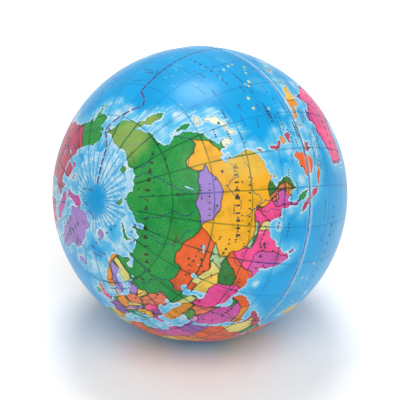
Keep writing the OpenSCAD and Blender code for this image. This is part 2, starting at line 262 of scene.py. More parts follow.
# Countries in the order they are printed, each over the ones before it. They reach into the sea and into
# their neighbours freely, because the coast trims them and a later ink covers an earlier one.
COUNTRIES = [
    ("Kazakhstan", "red", """49 87.3, 51 81, 54 76, 54.3 71, 55.3 68, 54 62, 51 61, 50.8 55, 51.5 50,
        48 46.5, 45.5 48, 41.5 51, 41.8 56, 45 58.5, 41.3 66.5, 42.5 71, 42.5 80.3, 45 82.5, 47.3 85.5"""),
    ("Uzbekistan", "lemon", """45.2 56, 45 58.5, 43.5 62, 41.3 66.5, 42 70.5, 40 73, 37.5 68, 37.2 66.5,
        39 64, 41.5 60, 41.4 56"""),
    ("Turkmenistan", "amber", "42.8 52, 41.5 60, 39 64, 37.3 66.5, 35.2 62, 37.5 57, 37.3 52.5"),
    ("Kirghizia", "mint", "42.8 71, 42.8 80.3, 40.5 76.5, 37 75, 36.8 71.5, 37.5 68, 40 70, 41.3 71"),
    ("Mongolia", "lavender", """49.2 88, 47.7 90.5, 45 92, 42.8 96.5, 41.6 105, 43.5 112, 45 114,
        46.7 119.8, 47.8 117, 49.7 116.5, 50.3 107, 52 99, 50 93"""),
    ("China", "yellow", """49.5 117, 53.4 121, 53 124, 49.5 127.7, 47.7 131, 48.3 134.8, 45 132,
        42.7 130.6, 41.8 128, 40 124.3, 38 124, 30 125, 21 119, 20.5 113, 20.6 109, 21.6 108, 22.8 106,
        22.5 103, 21.3 101.2, 23.8 98, 27.5 98.6, 28.2 97, 29 95, 27.8 89, 28.2 86, 30.3 81, 32.5 79,
        35.5 78, 37 75, 39.5 73.7, 41 77, 42.5 80.3, 45 82.5, 47.3 85.5, 49.2 88, 47.7 90.5, 45 92,
        42.8 96.5, 41.6 105, 43.5 112, 45 114, 46.7 119.8, 47.8 117"""),
    ("Korea North", "green", "42.5 130.5, 41.8 128, 40 124.3, 37.8 124.5, 38 128.6"),
    ("Korea South", "paper", "37.8 124.5, 38.5 128.8, 35 130, 33.5 126"),
    ("Nepal", "mint", "30.3 81, 28.2 86, 27.9 89, 28.5 92, 26.8 92, 26.5 88, 28.2 80.5"),
    ("India", "pink", """35.5 78, 32.5 79, 30.3 81, 28.2 80.5, 26.7 85, 26.5 88, 26.8 92, 28.5 92, 29 96,
        27.5 97.2, 24 94, 22 93, 21 92, 20 88, 10 82, 6.5 77.5, 10 72, 20 67.5, 23.7 68, 24.3 70.5, 28 71,
        30 73, 32.5 75"""),
    ("West India", "magenta", "27 70, 26 78, 22 80, 14 79, 7 78, 10 73, 20 67.5, 23.7 68"),
    ("Bengal", "lemon", "26.3 88.5, 25.2 92, 22.3 92.4, 21 91.5, 21.2 89"),
    ("Pakistan", "red", """37 74.8, 35.5 78, 32.5 75, 30 73, 28 71, 24.3 70.5, 23 68, 24 61.3, 29.8 61,
        29.5 66, 31.5 68.5, 34 71"""),
    ("Afghanistan", "forest", """35.5 61.2, 37.2 66.5, 37.2 69, 38.2 71, 37 74.8, 34 71, 31.5 68.5,
        29.5 66, 29.8 61, 32.5 61"""),
    ("Burma", "pink", """28.3 97.5, 24 98.7, 21.5 101, 19.5 98, 16.5 98.5, 10 98.9, 10 96, 15 93, 20 91.8,
        22 92.7, 24 94"""),
    ("Siam", "magenta", """20.4 100, 17.8 101.2, 18.3 104, 15 105.5, 13.7 102.6, 11.6 102.8, 8 101,
        6.4 101.5, 6.4 99, 10.5 98.7, 16.5 98.5, 19.5 98"""),
    ("Laos", "coral", """22.3 102, 19.5 104, 17 106.5, 14.5 107.5, 14.2 105.2, 18.3 104, 17.8 101.2,
        20.4 100"""),
    ("Vietnam", "forest", """23 105, 21.5 108.6, 16 109.5, 11 110.3, 8 104.7, 10.5 104.7, 11.5 106,
        14.5 107.5, 17 106.5, 19.5 104, 22.4 102.5"""),
    ("Cambodia", "orange", "14.3 103, 14.5 107.5, 11.5 106, 10.3 104.3, 11.6 102.6, 13.7 102.6"),
    ("Malaya", "green", "6.6 100, 6.6 102.5, 1 105, 1 103, 5 100"),
    ("Iran", "pink", """39 44.5, 38.5 48.5, 37.5 50, 37 54, 37.5 57, 35.5 61, 31 61.5, 27.5 63, 25 61.5,
        25 57, 29 49.5, 30 48.3, 33 46, 36.5 45"""),
    ("Arabia", "magenta", """29.4 35, 32 39, 31 42, 29 46.7, 28.5 49, 25 52, 22.8 52.5, 22 55.5, 19 52,
        17 47.5, 17.3 43.2, 16.4 41.5, 21 37.5, 28 34.4"""),
    ("Iraq", "coral", "37.2 42.5, 36.5 45, 33 46, 29.8 48.6, 29 46.7, 31 42, 33.3 39, 34.5 41"),
    ("Yemen", "orange", "17.3 43, 17 47.5, 19 52, 15.5 54, 12 46, 12.3 43"),
    ("Oman", "red", "26.5 56.3, 22.7 55.5, 19 52, 16 54, 17 59, 23 60.5"),
    ("Emirates", "green", "24 51, 27 56, 22.9 55.2, 22.7 52"),
    ("Levant", "leaf", "37 36.3, 37.2 42.3, 34.5 41, 33.3 39, 32 37, 33 35, 36 35.5"),
    ("Jordan", "rose", "32.8 35, 33.3 39, 31.8 39, 29.3 36.2, 29 34.2, 31.5 34"),
    ("Turkey", "orange", """42.3 27, 42.8 34, 41.6 41.5, 39.7 44.5, 37.2 44.5, 37 36.3, 35.6 36, 35.8 28,
        39 25.3, 40.4 25.8"""),
    ("Caucasus", "lemon", "43.6 39.8, 42.7 45, 41.8 49, 38.4 49, 39.5 44.5, 41.3 41.3"),
    ("Ukraine", "coral", "52 24, 52.3 33, 50 40, 47 39, 44 37, 44 32, 45.3 29.5, 48 27, 48 22.5, 50.5 24"),
    ("Belarus", "amber", "56 28, 54.5 31.5, 52.2 31.5, 52 24, 54 23.8"),
    ("Baltics", "lavender", "59.8 23, 59.5 28, 56 28, 54 25, 54.3 21, 57.5 20.5"),
    ("Finland", "lemon", """70 28, 66 30, 62.5 31, 60.3 27.5, 59.5 22, 61 20.8, 63.2 20.8, 65.8 24.2,
        68.5 23.5, 69 21"""),
    ("Sweden", "lavender", "69 20.5, 65.8 24.3, 63.5 20.5, 60 19.5, 56 17, 55 12.8, 59 11, 62 12, 65 14"),
    ("Norway", "orange", """71.5 31, 69.6 31, 70 28, 69 20.5, 65 14, 62 12, 59 11.4, 57.5 7, 62 4, 68 12,
        71 22"""),
    ("Denmark", "red", "58 11, 55 10.8, 54.8 8, 57 7.5"),
    ("Poland", "coral", "55 14, 54.5 19.8, 54.2 23, 50.5 24, 49 22, 50 17, 51 15, 53.5 14.3"),
    ("Germany", "orange", """54.8 8, 54.8 13.5, 51 15, 48.7 13, 47.5 13, 47.5 7.5, 49.5 6.3, 51.5 6,
        53.5 6.8"""),
    ("Low Countries", "green", "53.6 4.5, 53.3 7, 51.5 6, 49.4 6.3, 50 3.5, 51.2 2.5"),
    ("France", "violet", "51.2 1.8, 49.4 6.3, 47.5 7.5, 46 6.8, 43.5 7.6, 42.5 3.3, 43.2 -2, 48.5 -5.5"),
    ("Spain", "yellow", "44 -9.5, 43.4 -1.8, 42.4 3.5, 37 0, 35.9 -5.6, 37 -7.4, 42 -6.7, 42 -9.5"),
    ("Portugal", "green", "42 -9.5, 42 -6.7, 37 -7.4, 36.5 -9.5"),
    ("Italy", "green", "47 12.5, 45.6 13.8, 40 19, 37.5 16, 38 15.5, 42 10.5, 43.7 7.5, 46 7, 46.4 10.5"),
    ("Alps", "rose", "47.5 7, 47.5 9.6, 48.8 13.5, 48.8 17, 46.6 16, 46.4 10.5, 46 7"),
    ("Bohemia", "lemon", "51 14.5, 50 18.5, 49 22.5, 48 20, 48.8 13, 50.3 12.3"),
    ("Hungary", "lavender", "48.5 21.5, 46 20.5, 46 16.5, 47.7 17, 48.5 19.5"),
    ("Romania", "pink", "48.2 26.5, 45.3 29.6, 43.7 28.8, 43.8 23, 44.7 21.5, 46.3 21, 48 23"),
    ("Balkans", "yellow", "46.3 13.5, 46.3 20.5, 44.5 22.5, 42.2 22.3, 40 19.2, 42 18.3"),
    ("Bulgaria", "violet", "44 22.7, 43.8 28.8, 41.9 28.2, 41.3 23"),
    ("Greece", "magenta", "42.2 22.3, 41.3 26.3, 36.5 24, 36.3 21, 40 19.2"),
    ("Scotland", "coral", "55 -5.5, 55.3 -1.2, 59 -1.5, 59 -6.5"),
    ("Egypt", "violet", "31.8 25, 31.8 34.5, 28 34.3, 22 37, 22 25"),
    ("Libya", "magenta", "33.3 11.5, 33 25, 20 25, 20 24, 23.5 15.5, 24 11.8, 30 9.5"),
    ("Tunisia", "green", "37.6 8.3, 37.3 11.5, 33 11.5, 30.2 9.6, 34.5 8"),
    ("Algeria", "red", "37 -2, 37.4 8.3, 34.5 8, 30.2 9.6, 24 11.8, 19 4, 27.3 -8.7, 32 -1.3"),
    ("Morocco", "lemon", "36 -6, 35.4 -2, 32 -1.3, 27.7 -8.7, 27.7 -13.5, 34 -8"),
    ("Rio de Oro", "rose", "27.7 -13.5, 27.7 -8.7, 26 -8.7, 23.3 -12.5, 21 -13, 21 -17.5"),
    ("Mauritania", "crimson", """26 -8.7, 27.3 -8.7, 25 -6, 15.5 -5.5, 14.8 -12, 16.5 -17, 21 -17.5,
        21 -13, 23.3 -12.5"""),
    ("Mali", "orange", "25 -6, 21 2, 19 4, 15 3.5, 14 -1, 10.5 -6, 12 -11.5, 15 -11.5, 15.5 -5.5"),
    ("Niger", "amber", "23.5 12, 22 15, 14 13.5, 13 4, 15 3.5, 19 4"),
    ("Chad", "orange", "23.5 15, 20 24, 11 23, 8 17, 13 14, 22 15"),
    ("Sudan", "red", "22 25, 22 37.2, 18 39, 14.5 36.5, 9.5 34, 4.5 34.5, 4 30.5, 8 25, 11 23, 16 24"),
    ("Ethiopia", "lemon", "18 38.5, 14 41, 11.5 43, 8 47.5, 4 42, 3.8 38, 5 35.5, 9.5 34, 14.5 36.5"),
    ("Somaliland", "crimson", "12.2 43, 12 51.8, 4 48.5, -1.5 42, 0 41, 4 42, 8 47.5, 11 43"),
    ("Kenya", "forest", "5 35.5, 3.8 38, 4 42, 0 41, -1.6 41.6, -4.7 39.5, -1 34, 4 34.5"),
    ("Uganda", "magenta", "4 31, 4 34.5, -1 34, -1.3 29.8, 2 31"),
    ("Tanganyika", "red", "-1 30.5, -1 34, -4.7 39.6, -8 40.3, -10.6 40.5, -11.5 35, -8.5 31.2, -5 29.5"),
    ("Guinea Coast", "green", "15 -17, 12 -11.5, 10.5 -6, 11 -3, 4 -2.5, 4 -9, 8 -14.5, 12 -17.5"),
    ("Senegal", "coral", "17 -17.5, 15.3 -12, 12.5 -11.5, 12 -17.5"),
    ("Liberia", "magenta", "8.6 -11.5, 8 -8.3, 4 -7.3, 4 -9.5, 7 -12"),
    ("Gold Coast", "crimson", "11 -3, 11 1.2, 5.5 1.3, 4.3 -3"),
    ("Dahomey", "lavender", "12.5 2, 12 3.8, 5.8 2.8, 5.8 1.2, 11 1"),
    ("Nigeria", "magenta", "13.8 4, 13.7 13, 8 12.5, 4.5 8.8, 4 6, 6 2.7, 12 3.6"),
    ("Cameroon", "violet", "12.8 14.3, 8 15.5, 2 16, 2 9.5, 4.5 8.6, 8 12.5"),
    ("Centrafrica", "pink", "11 22.8, 8 25, 5 27.4, 4.2 18.5, 3.5 16, 7.5 15.5, 8 19"),
    ("Gabon", "rose", "2.3 9, 2.2 13.2, -2.5 14.2, -4.2 11, -1 8"),
    ("Congo", "magenta", "3.6 16, 3.5 18.6, -1 17.5, -5 12, -3.8 11, -2.4 14.2, 2.2 13.2"),
    ("Zaire", "red", """4.3 18.5, 5 27.4, 4 30.6, 2 31.2, -1.5 29.5, -5 29.5, -8.4 31, -13 29.7, -11 22,
        -8 21.8, -6 16.5, -5.8 12, -4.7 13.3, -.8 17.7"""),
    ("Angola", "forest", "-5.8 11.5, -6 16.5, -8 21.8, -11 22, -13 22, -13 24, -17.5 23, -17.5 11"),
    ("Zambia", "magenta", """-8.4 31.5, -10.5 33.3, -14 33, -17.9 27, -17.5 23.3, -13 24, -13 22, -11 24,
        -13 29.7"""),
    ("Rhodesia", "leaf", "-15.6 30.3, -18 33, -22.4 31.2, -20.5 27.5, -17.9 25.3"),
    ("Mozambique", "crimson", """-10.6 41, -15 42, -21 36.5, -27 33.5, -26.8 32, -22.4 31.2, -18 33,
        -15.8 30.3, -14 33.2, -11.5 34.8"""),
    ("Bechuanaland", "violet", """-17.9 25.3, -20.5 27.5, -22.3 29, -25.5 25.5, -26.8 20.5, -22 20,
        -18.2 21"""),
    ("Namibia", "amber", "-17.4 11, -17.5 23.3, -18.2 21, -22 20, -28.3 20, -28.8 15.5, -22 13.5"),
    ("South Africa", "coral", """-28.8 16, -28.3 20, -26.8 20.5, -25.5 25.5, -22.3 29.3, -22.4 31.3,
        -26.8 32.2, -29 33, -35.5 26, -35.5 17"""),
    ("Basutoland", "lemon", "-28.7 28.5, -29.5 29.4, -30.6 28, -29.6 27"),
    ("Alaska", "green", """72 -141, 60.3 -141, 58.8 -137, 55 -130, 53.5 -133, 58 -145, 52 -165, 60 -170,
        68 -170, 72 -157"""),
    ("United States", "violet", """49 -125, 49 -95, 47.9 -89.5, 46.3 -84, 43 -82.4, 42 -82.8, 43.2 -79,
        45 -75, 45 -71.5, 47.4 -69.5, 44.8 -66.5, 41 -69, 34 -74, 25 -79, 24 -82, 28 -90, 25.8 -97,
        29.7 -101.5, 29 -103.2, 31.7 -106.5, 31.3 -111, 32.6 -117.5, 40 -127"""),
    ("Mexico", "red", """32.6 -117.3, 31.3 -111, 31.7 -106.5, 29 -103.2, 29.7 -101.5, 25.8 -97, 22 -96,
        22 -86, 18 -87.7, 17.8 -91, 16 -91.8, 14.3 -92.3, 15 -96, 19 -106, 24 -113"""),
    ("Guatemala", "forest", "17.9 -91, 18.4 -87.8, 15.8 -88.3, 13.5 -90, 14.4 -92.4, 16 -91.8"),
    ("Honduras", "magenta", "16.5 -89, 16.4 -83.5, 14.8 -83.2, 12.9 -87.5, 13.8 -90"),
    ("Nicaragua", "lemon", "15 -83.2, 10.9 -83.5, 11 -86, 12.9 -87.6, 14 -86"),
    ("Costa Rica", "orange", "11 -83.5, 9.6 -82.5, 8 -83, 9.8 -86.2, 11 -86"),
    ("Panama", "violet", "9.7 -82.5, 10 -79, 8.7 -77, 7 -78, 7 -81, 8 -83"),
    ("Colombia", "amber", """12.6 -71.5, 7 -72, 6 -67.5, 1.5 -67, -4.2 -70, -.2 -75.3, 1.5 -79.3, 8.5 -78,
        11.5 -75.5"""),
    ("Venezuela", "pink", "12 -71.3, 11 -60, 8.4 -59.8, 5 -61, 4 -64, 1 -66, 1.5 -67, 6 -67.5, 7 -72"),
    ("Guyana", "lemon", "8.5 -60, 6.3 -56.5, 2 -56.5, 1.5 -59, 5 -61"),
    ("Surinam", "magenta", "6.3 -57.2, 6 -53.8, 2.3 -54.5, 2 -56.5"),
    ("Cayenne", "lavender", "6 -54, 4.4 -51, 2.3 -53, 2.3 -54.5"),
    ("Ecuador", "yellow", "1.5 -79.3, -.2 -75.3, -3.5 -78, -4.5 -80, -2.5 -82"),
    ("Peru", "red", """-.2 -75.2, -4.2 -70, -9.5 -71.5, -11 -69.5, -16 -69, -18.4 -70.5, -14 -77.5,
        -5 -82, -4.5 -80, -3.5 -78"""),
    ("Bolivia", "crimson", """-11 -69, -10 -65.5, -13.5 -61, -18 -57.7, -20 -58.5, -22.2 -62.8, -22.8 -67,
        -17.8 -69.3, -15.5 -69"""),
    ("Paraguay", "magenta", """-19.5 -58.5, -22.3 -56, -24 -54.3, -27.3 -56, -25.5 -57.6, -22.2 -62.5,
        -20 -61.8"""),
    ("Chile", "violet", """-18 -70.8, -18 -69.3, -22.8 -67.2, -27 -68.5, -33 -70, -41 -71.7, -50 -73.2,
        -52.3 -69, -55.7 -68, -54 -77, -18 -77"""),
    ("Argentina", "orange", """-22 -66.5, -22.3 -62.8, -25.5 -57.6, -27.4 -56, -25.6 -54, -30.3 -57.6,
        -34.3 -58.2, -37 -55.5, -50 -64, -55.5 -65, -54.8 -68.4, -52.3 -69, -50 -73.2, -41 -71.7, -33 -70,
        -27 -68.5, -22.8 -67.2"""),
    ("Uruguay", "rose", "-30.2 -57.6, -31 -55.5, -33.7 -53, -35.2 -53.5, -34.3 -58.2"),
    ("Papua", "amber", "-2 141, -2 148, -11.5 152, -9.5 141"),
    ("Outback", "pink", """-14.9 128.2, -12.6 132, -14.5 135.2, -18.2 140, -12.5 142.4, -17 145,
        -23.5 149.7, -28 152.3, -34 151, -37.2 148.5, -38 145, -36.8 141, -34 138.5, -31.5 134, -30.6 130,
        -31.2 126, -33 122, -34 118, -33 116.3, -26 114.9, -22.3 115, -20 120, -17.4 124"""),
]

# Pack ice around the poles, which stops where the land begins
ICE = {
    "Arctic ice": """74 -170, 72.5 -155, 73 -140, 76 -128, 79 -112, 81 -95, 83.5 -75, 83.8 -50, 83 -25,
        79 -8, 78 5, 81.5 20, 79.5 40, 79 55, 78.5 70, 76 82, 77.5 95, 79 108, 76.5 118, 75 128, 74.5 140,
        73 150, 72 162, 71.5 172, 72 182""",
    "Weddell ice": "-63.5 -52, -66 -40, -70 -22, -75 -24, -78.5 -38, -77.5 -55, -74 -62, -68 -61",
    "Ross ice": "-71 171, -73 -178, -74 -165, -76 -152, -78.5 -158, -79 -176, -77 166",
}

# Rivers and other fine blue lines over the land
RIVERS = """66.5 72, 61 69, 56 76, 51.5 85 | 71 83, 64 88, 56 92.5, 52 95 | 72 127, 66 123.5, 60 112,
        54 106.5 | 53 141, 48.5 135, 49.5 127, 53.3 121 | 31.5 121, 30 114, 30.5 106, 26 101, 33 94 |
        37.5 118, 35 111, 40.5 108, 36 103, 35 97 | 10 106.5, 18 104, 22 100.5, 31 97 | 16.5 95, 24 96,
        27 98 | 23 90, 25.5 85, 29.5 78 | 29 95, 26.5 91, 29.5 83 | 24.5 67.5, 31 72, 34.5 77 | 46 48,
        53 49, 56 44, 57 34 | 47 39, 51 40, 53 38.5 | 46.5 32, 50 31, 55 32 | 45.2 29, 44 23, 47.5 19,
        48 12 | 66 43, 61 46, 60 41 | 30 48, 34 42, 38 40 | 31 31, 24 33, 19 32, 13 33, 5 31.5 | -6 12.5,
        -2 17, 1.5 24, -6 26.5 | 5 6.5, 11 4, 16.5 -1, 12 -7 | -18.5 36, -16 30, -18 25, -13 23 |
        -28.5 16.5, -29 22, -29.5 27 | -1 -50, -2.5 -55, -4 -62, -4 -70, -9 -75 | -34 -58.5, -27.5 -58,
        -22 -54, -18 -49 | 9 -62, 7 -66, 3 -65 | 29.5 -90, 35 -90.5, 40 -91, 46 -94 | 39 -91, 41 -96,
        47 -103, 47 -110 | 47 -71, 44.5 -76, 43.5 -79 | 69 -135, 65 -128, 61 -118, 57 -112 | 63 -164,
        65 -157, 64.5 -148, 66 -142 | 57 -92, 54 -97, 51 -103 | -35.5 139, -34 143, -30 147, -27 151 |
        69 161, 65 152, 62 150 | 71 137, 66 134, 63 138"""

# Shelf seas, printed paler than the deep: latitude, longitude and radius, all in degrees
SHALLOWS = [
    (61, -173, 10), (57, 178, 5), (57, 148, 9), (57, 163, 5), (47, 150, 6), (45, 141, 6), (39, 134, 9),
    (37, 143, 5), (33, 128, 8), (32, 123, 6), (27, 123, 5), (23, 119, 4), (21, 115, 4), (8, 128, 5),
    (2, 129, 5), (-2, 136, 5), (14, 127, 4), (5, 136, 4), (-6, 127, 5), (-8, 121, 5), (-6, 112, 5),
    (-28, 165, 7), (-21, 168, 6), (-36, 171, 7), (-13, 165, 5), (-39, 150, 4), (20, 113, 5), (12, 110, 5),
    (5, 108, 6), (-3, 110, 6), (9, 120, 5), (3, 122, 5), (-5, 118, 5), (-11, 132, 6), (-12, 141, 5),
    (-6, 150, 5), (-18, 150, 5), (17, 91, 5), (21, 89, 3), (12, 97, 4), (20, 66, 4), (26, 52, 3),
    (13, 53, 4), (20, 38, 3), (36, 20, 7), (35, 32, 4), (40, 5, 5), (43, 34, 4), (56, 4, 6), (58, 20, 4),
    (64, 5, 5), (72, 40, 7), (75, 70, 7), (74, 130, 8), (73, 165, 7), (66, -5, 6), (70, -60, 6),
    (60, -85, 7), (57, -55, 5), (47, -55, 6), (40, -69, 4), (27, -90, 6), (16, -78, 6), (20, -64, 5),
    (22, -108, 3), (50, -130, 3), (57, -150, 3), (7, -50, 4), (-20, -38, 4), (-45, -62, 6), (-52, -60, 5),
    (2, 4, 5), (14, -19, 4), (-16, 10, 4), (-35, 22, 5), (-20, 40, 5), (-10, 48, 4), (-36, 130, 5),
    (-40, 158, 5), (-44, 175, 6), (-33, 175, 5), (-18, 178, 6), (-15, -172, 5), (-18, -150, 6),
    (-9, -140, 5), (8, 150, 6), (12, 168, 4), (21, -158, 2.5), (-27, -110, 4), (-60, 60, 7),
    (-62, 150, 8), (-60, -150, 8), (-62, -90, 7), (-60, -30, 8), (-50, 70, 5), (-12, -90, 6),
    (-38, -95, 7), (-30, -135, 6), (-45, -120, 7), (-5, 65, 5), (-20, 58, 4), (-30, 85, 6), (-20, -10, 5),
    (-38, -15, 5), (33, -40, 4), (38, -28, 4), (45, -152, 2), (30, 176, 2.5),
]

# Where the inks over land are laid thin and pale: latitude, longitude and radius, all in degrees
FADED = [(66, 164, 8), (58, 160, 5), (29, 117, 7), (35, 117, 5), (-3, -60, 8)]

# Where the date line stands east of the 180th meridian, as latitude and degrees of shift
DATE_LINE = [
    (-90, 0), (-51, 0), (-45, 7.5), (-15, 7.5), (-5, 0), (48, 0), (52.5, -10), (64, 9), (66, 11), (72, 2),
    (90, 0),
]

# Where small type and town dots crowd: latitude, longitude and radius in degrees, rows of type, dots
TYPE_ZONES = [
    (62, 95, 30, 7, 22), (52, 50, 16, 3, 12), (66, 165, 14, 2, 6), (38, 68, 12, 6, 10), (20, 79, 9, 4, 9),
    (14, 103, 8, 7, 8), (-3, 120, 15, 16, 14), (20, 145, 16, 12, 10), (6, 130, 8, 10, 8),
    (-8, 122, 12, 12, 12), (-25, 168, 10, 6, 0), (-8, 160, 12, 9, 9), (-16, -165, 22, 14, 12),
    (30, 40, 12, 6, 10), (50, 12, 13, 16, 22), (5, 20, 30, 16, 30), (-20, 25, 14, 6, 12),
    (-25, 134, 14, 5, 12), (-10, -58, 22, 12, 26), (-38, -66, 12, 4, 10), (17, -74, 12, 12, 10),
    (42, -98, 20, 10, 30), (60, -105, 18, 8, 12), (73, -85, 14, 6, 6), (66, -15, 14, 5, 4),
    (38, -35, 18, 5, 0), (-20, -15, 18, 4, 0), (-18, 72, 22, 8, 4), (-48, 60, 18, 4, 0),
    (-80, 0, 10, 8, 0), (-62, 160, 16, 4, 0), (-60, -120, 18, 4, 0), (45, -160, 16, 5, 0),
    (30, 165, 16, 4, 0), (-40, 170, 10, 4, 5), (-38, -110, 18, 5, 0), (5, -120, 18, 4, 0),
    (33, 130, 7, 5, 5),
]

# Long names, printed as widely spaced bold marks: both ends of the row, marks, and their height in mm
BOLD_ROWS = [
    (34.5, 84, 35.5, 117, 10, 1.15), (30.5, 86, 30.5, 112, 8, .6), (61, 48, 62, 140, 13, .95),
    (48, 57, 47.5, 78, 7, .6), (46.6, 92, 46.3, 111, 6, .55), (23, 71, 22.5, 84, 5, .8),
    (24, 20, 6, 24, 8, 1.1), (38, -118, 39, -80, 10, 1.1), (58, -125, 57, -75, 9, 1.1),
    (-8, -62, -9, -44, 7, 1), (-24, 118, -25, 147, 9, 1.1), (22, 152, 22, 178, 8, .8),
    (12, -178, 10, -140, 10, .9), (-24, -165, -26, -110, 12, .9), (30, -62, 18, -38, 9, .8),
    (-22, -28, -36, -6, 9, .8), (-16, 62, -20, 98, 10, .9), (-58, 20, -60, 90, 12, .7),
    (-60, -170, -58, -90, 12, .7), (73, -5, 78, 60, 7, .5), (24, 45, 22.5, 51, 4, .7),
    (63, -44, 78, -38, 7, .7), (14, 62, 13.5, 68, 4, .5), (12, 86, 12, 92, 4, .5),
    (-80, -60, -80, 60, 8, .7),
]

# Where island specks and the short pale streaks of open sea lie: latitude, longitude, reach in degrees, count
SPECK_ZONES = [(12, 150, 14, 12), (-12, -160, 24, 26), (-12, 168, 9, 8), (16, -64, 6, 6), (-10, 60, 14, 6)]
STREAK_ZONES = [
    (30, -175, 38, 26), (-30, -130, 40, 24), (-25, 80, 30, 14), (35, -40, 26, 12), (-30, -15, 26, 10),
]

COAST_STEP = .62       # degrees, the longest straight piece of a coast or a border
GRID_STEP = .98        # degrees between the blank's inner points
KEEP_OFF = .4          # degrees that inner points stay off a printed edge
SHOULDER = .45         # degrees from a printed edge to the row of points beside it
COAST_ROUGHNESS, BORDER_ROUGHNESS, RIVER_ROUGHNESS = .21, .1, .2
RIVER_WIDTH_MM = .16
RIM_POINTS = 360
RIM_ROWS_MM = (.02, .06, .13, .25, .4, .55, .7, .85)
LINING_STEP = 3        # degrees between the points of the film's inner face
STRETCH = {NORTH: 4.0, SOUTH: 6.0}  # degrees that forming moves the map's middle zone towards the seam
ROW_SHARE = .866       # height of a triangle whose sides are 1 long
DASH_MM, DASH_WIDTH_MM = 1.7, .4

CARD_REACH = 3.0       # metres from the ball to the card's edges
LENS_MM = 265
CAMERA_UP, CAMERA_ROUND = math.radians(30), math.radians(1.8)
CAMERA_RADII = 20      # how many ball radii away the camera stands
AIM_BELOW_MIDDLE = .0015


def unit(lat, lon):
    """Unit vector of a place, with the pole along +Z."""
    lat, lon = math.radians(lat), math.radians(lon)
    return Vector((math.cos(lat) * math.cos(lon), math.cos(lat) * math.sin(lon), math.sin(lat)))


def jagged(a, b, roughness):
    """Points from a up to b with the turns of a real coast, which come out the same from either end."""
    first, last = sorted((a, b))
    draw = random.Random("{:.2f} {:.2f} {:.2f} {:.2f}".format(*first, *last))

    def split(p, q):
        gap = p.angle(q)
        if gap < math.radians(COAST_STEP):
            return [p]
        aside = p.cross(q).normalized() * gap * draw.uniform(-roughness, roughness)
        middle = ((p + q) / 2 + aside).normalized()
        return split(p, middle) + split(middle, q)

    points = split(unit(*first), unit(*last)) + [unit(*last)]
    if first != a:
        points.reverse()
    return points[:-1]


def ring(text, roughness):
    """A closed outline as unit vectors."""
    corners = outline(text)
    return [p for a, b in zip(corners, corners[1:] + corners[:1]) for p in jagged(a, b, roughness)]


def ribbons(text, width):
    """Short joined strips of this width, in radians, that follow open lines."""
    strips = []
    for line in text.split("|"):
        stops = outline(line)
        points = [p for a, b in zip(stops, stops[1:]) for p in jagged(a, b, RIVER_ROUGHNESS)]
        points.append(unit(*stops[-1]))
        for p, q in zip(points, points[1:]):
            aside = p.cross(q).normalized() * width / 2
            strips.append([p + aside, p - aside, q - aside, q + aside])
    return strips


def block(middle, along, width, height, radius):
    """A small printed rectangle, as four unit vectors; width and height are in the radius's unit."""
    across = middle.cross(along).normalized()
    along = across.cross(middle).normalized()
    w, h = along * width / radius / 2, across * height / radius / 2
    return [(middle + i * w + j * h).normalized() for i, j in ((-1, -1), (1, -1), (1, 1), (-1, 1))]


def type_row(start, end, count, height, radius, draw, broken):
    """Marks in a row that stand for a printed name: bars of uneven width, with no letter's shape."""
    marks = []
    for i in range(count):
        if broken and draw.random() < .18:
            continue
        middle = start.lerp(end, (i + .5) / count).normalized()
        along = end - start
        width = height * draw.uniform(.28, .6)
        marks.append(block(middle, along, width, height * draw.uniform(.75, 1), radius))
        if draw.random() < .5:
            aside = middle + along.normalized() * height * .45 / radius
            stroke = height * draw.uniform(.25, .4)
            marks.append(block(aside.normalized(), along, height * .5, stroke, radius))
    return marks


def printed_marks(radius, seed):
    """Type, town dots, island specks and the date line's dashes, as (ink, outline); radius in mm."""
    draw = random.Random(seed)
    marks = []
    for lat0, lon0, lat1, lon1, count, height in BOLD_ROWS:
        row = type_row(unit(lat0, lon0), unit(lat1, lon1), count, height, radius, draw, False)
        marks += [("type", m) for m in row]
    for lat, lon, reach, rows, dots in TYPE_ZONES:
        middle = unit(lat, lon)
        east = Vector((0, 0, 1)).cross(middle).normalized()
        north = middle.cross(east)

        def spot():
            far = math.radians(reach) * math.sqrt(draw.random())
            turn = draw.uniform(0, 2 * math.pi)
            aside = east * math.cos(turn) + north * math.sin(turn)
            return (middle * math.cos(far) + aside * math.sin(far)).normalized()

        for _ in range(rows):
            start = spot()
            count = draw.randint(4, 8)
            heading = (Vector((0, 0, 1)).cross(start) + north * draw.uniform(-.12, .12)).normalized()
            end = (start + heading * count * .52 / radius).normalized()
            marks += [("type", m) for m in type_row(start, end, count, .48, radius, draw, True)]
        for _ in range(dots):
            size = draw.uniform(.32, .52)
            marks.append(("dot", block(spot(), east, size, size, radius)))
    for lat, lon, reach, count in SPECK_ZONES:
        for _ in range(count):
            place = unit(lat + draw.uniform(-reach, reach) / 2, lon + draw.uniform(-reach, reach))
            size = draw.uniform(.4, .75)
            along = Vector((draw.random(), 1, .3))
            marks.append(("speck", block(place, along, size, size * draw.uniform(.5, 1), radius)))
    for lat, lon, reach, count in STREAK_ZONES:
        for _ in range(count):
            place = unit(lat + draw.uniform(-reach, reach) / 2, lon + draw.uniform(-reach, reach))
            along = Vector((0, 0, 1)).cross(place) + Vector((0, 0, draw.uniform(-.5, .5)))
            marks.append(("arc", block(place, along, draw.uniform(1, 2.6), draw.uniform(.14, .24), radius)))
    lat = -82.0
    while lat < 84:
        step = math.degrees(DASH_MM / radius)
        a, b = (unit(v, 180 + np.interp(v, *zip(*DATE_LINE))) for v in (lat, lat + step * .8))
        dash = block((a + b).normalized(), b - a, (b - a).length * radius, DASH_WIDTH_MM, radius)
        marks.append(("date line", dash))
        lat += step
    return marks


def stretched(angle, side):
    """Where forming the film takes the map, in degrees from the pole: its middle zone moves the most."""
    return angle + STRETCH[side] * np.sin(np.radians(2 * angle))


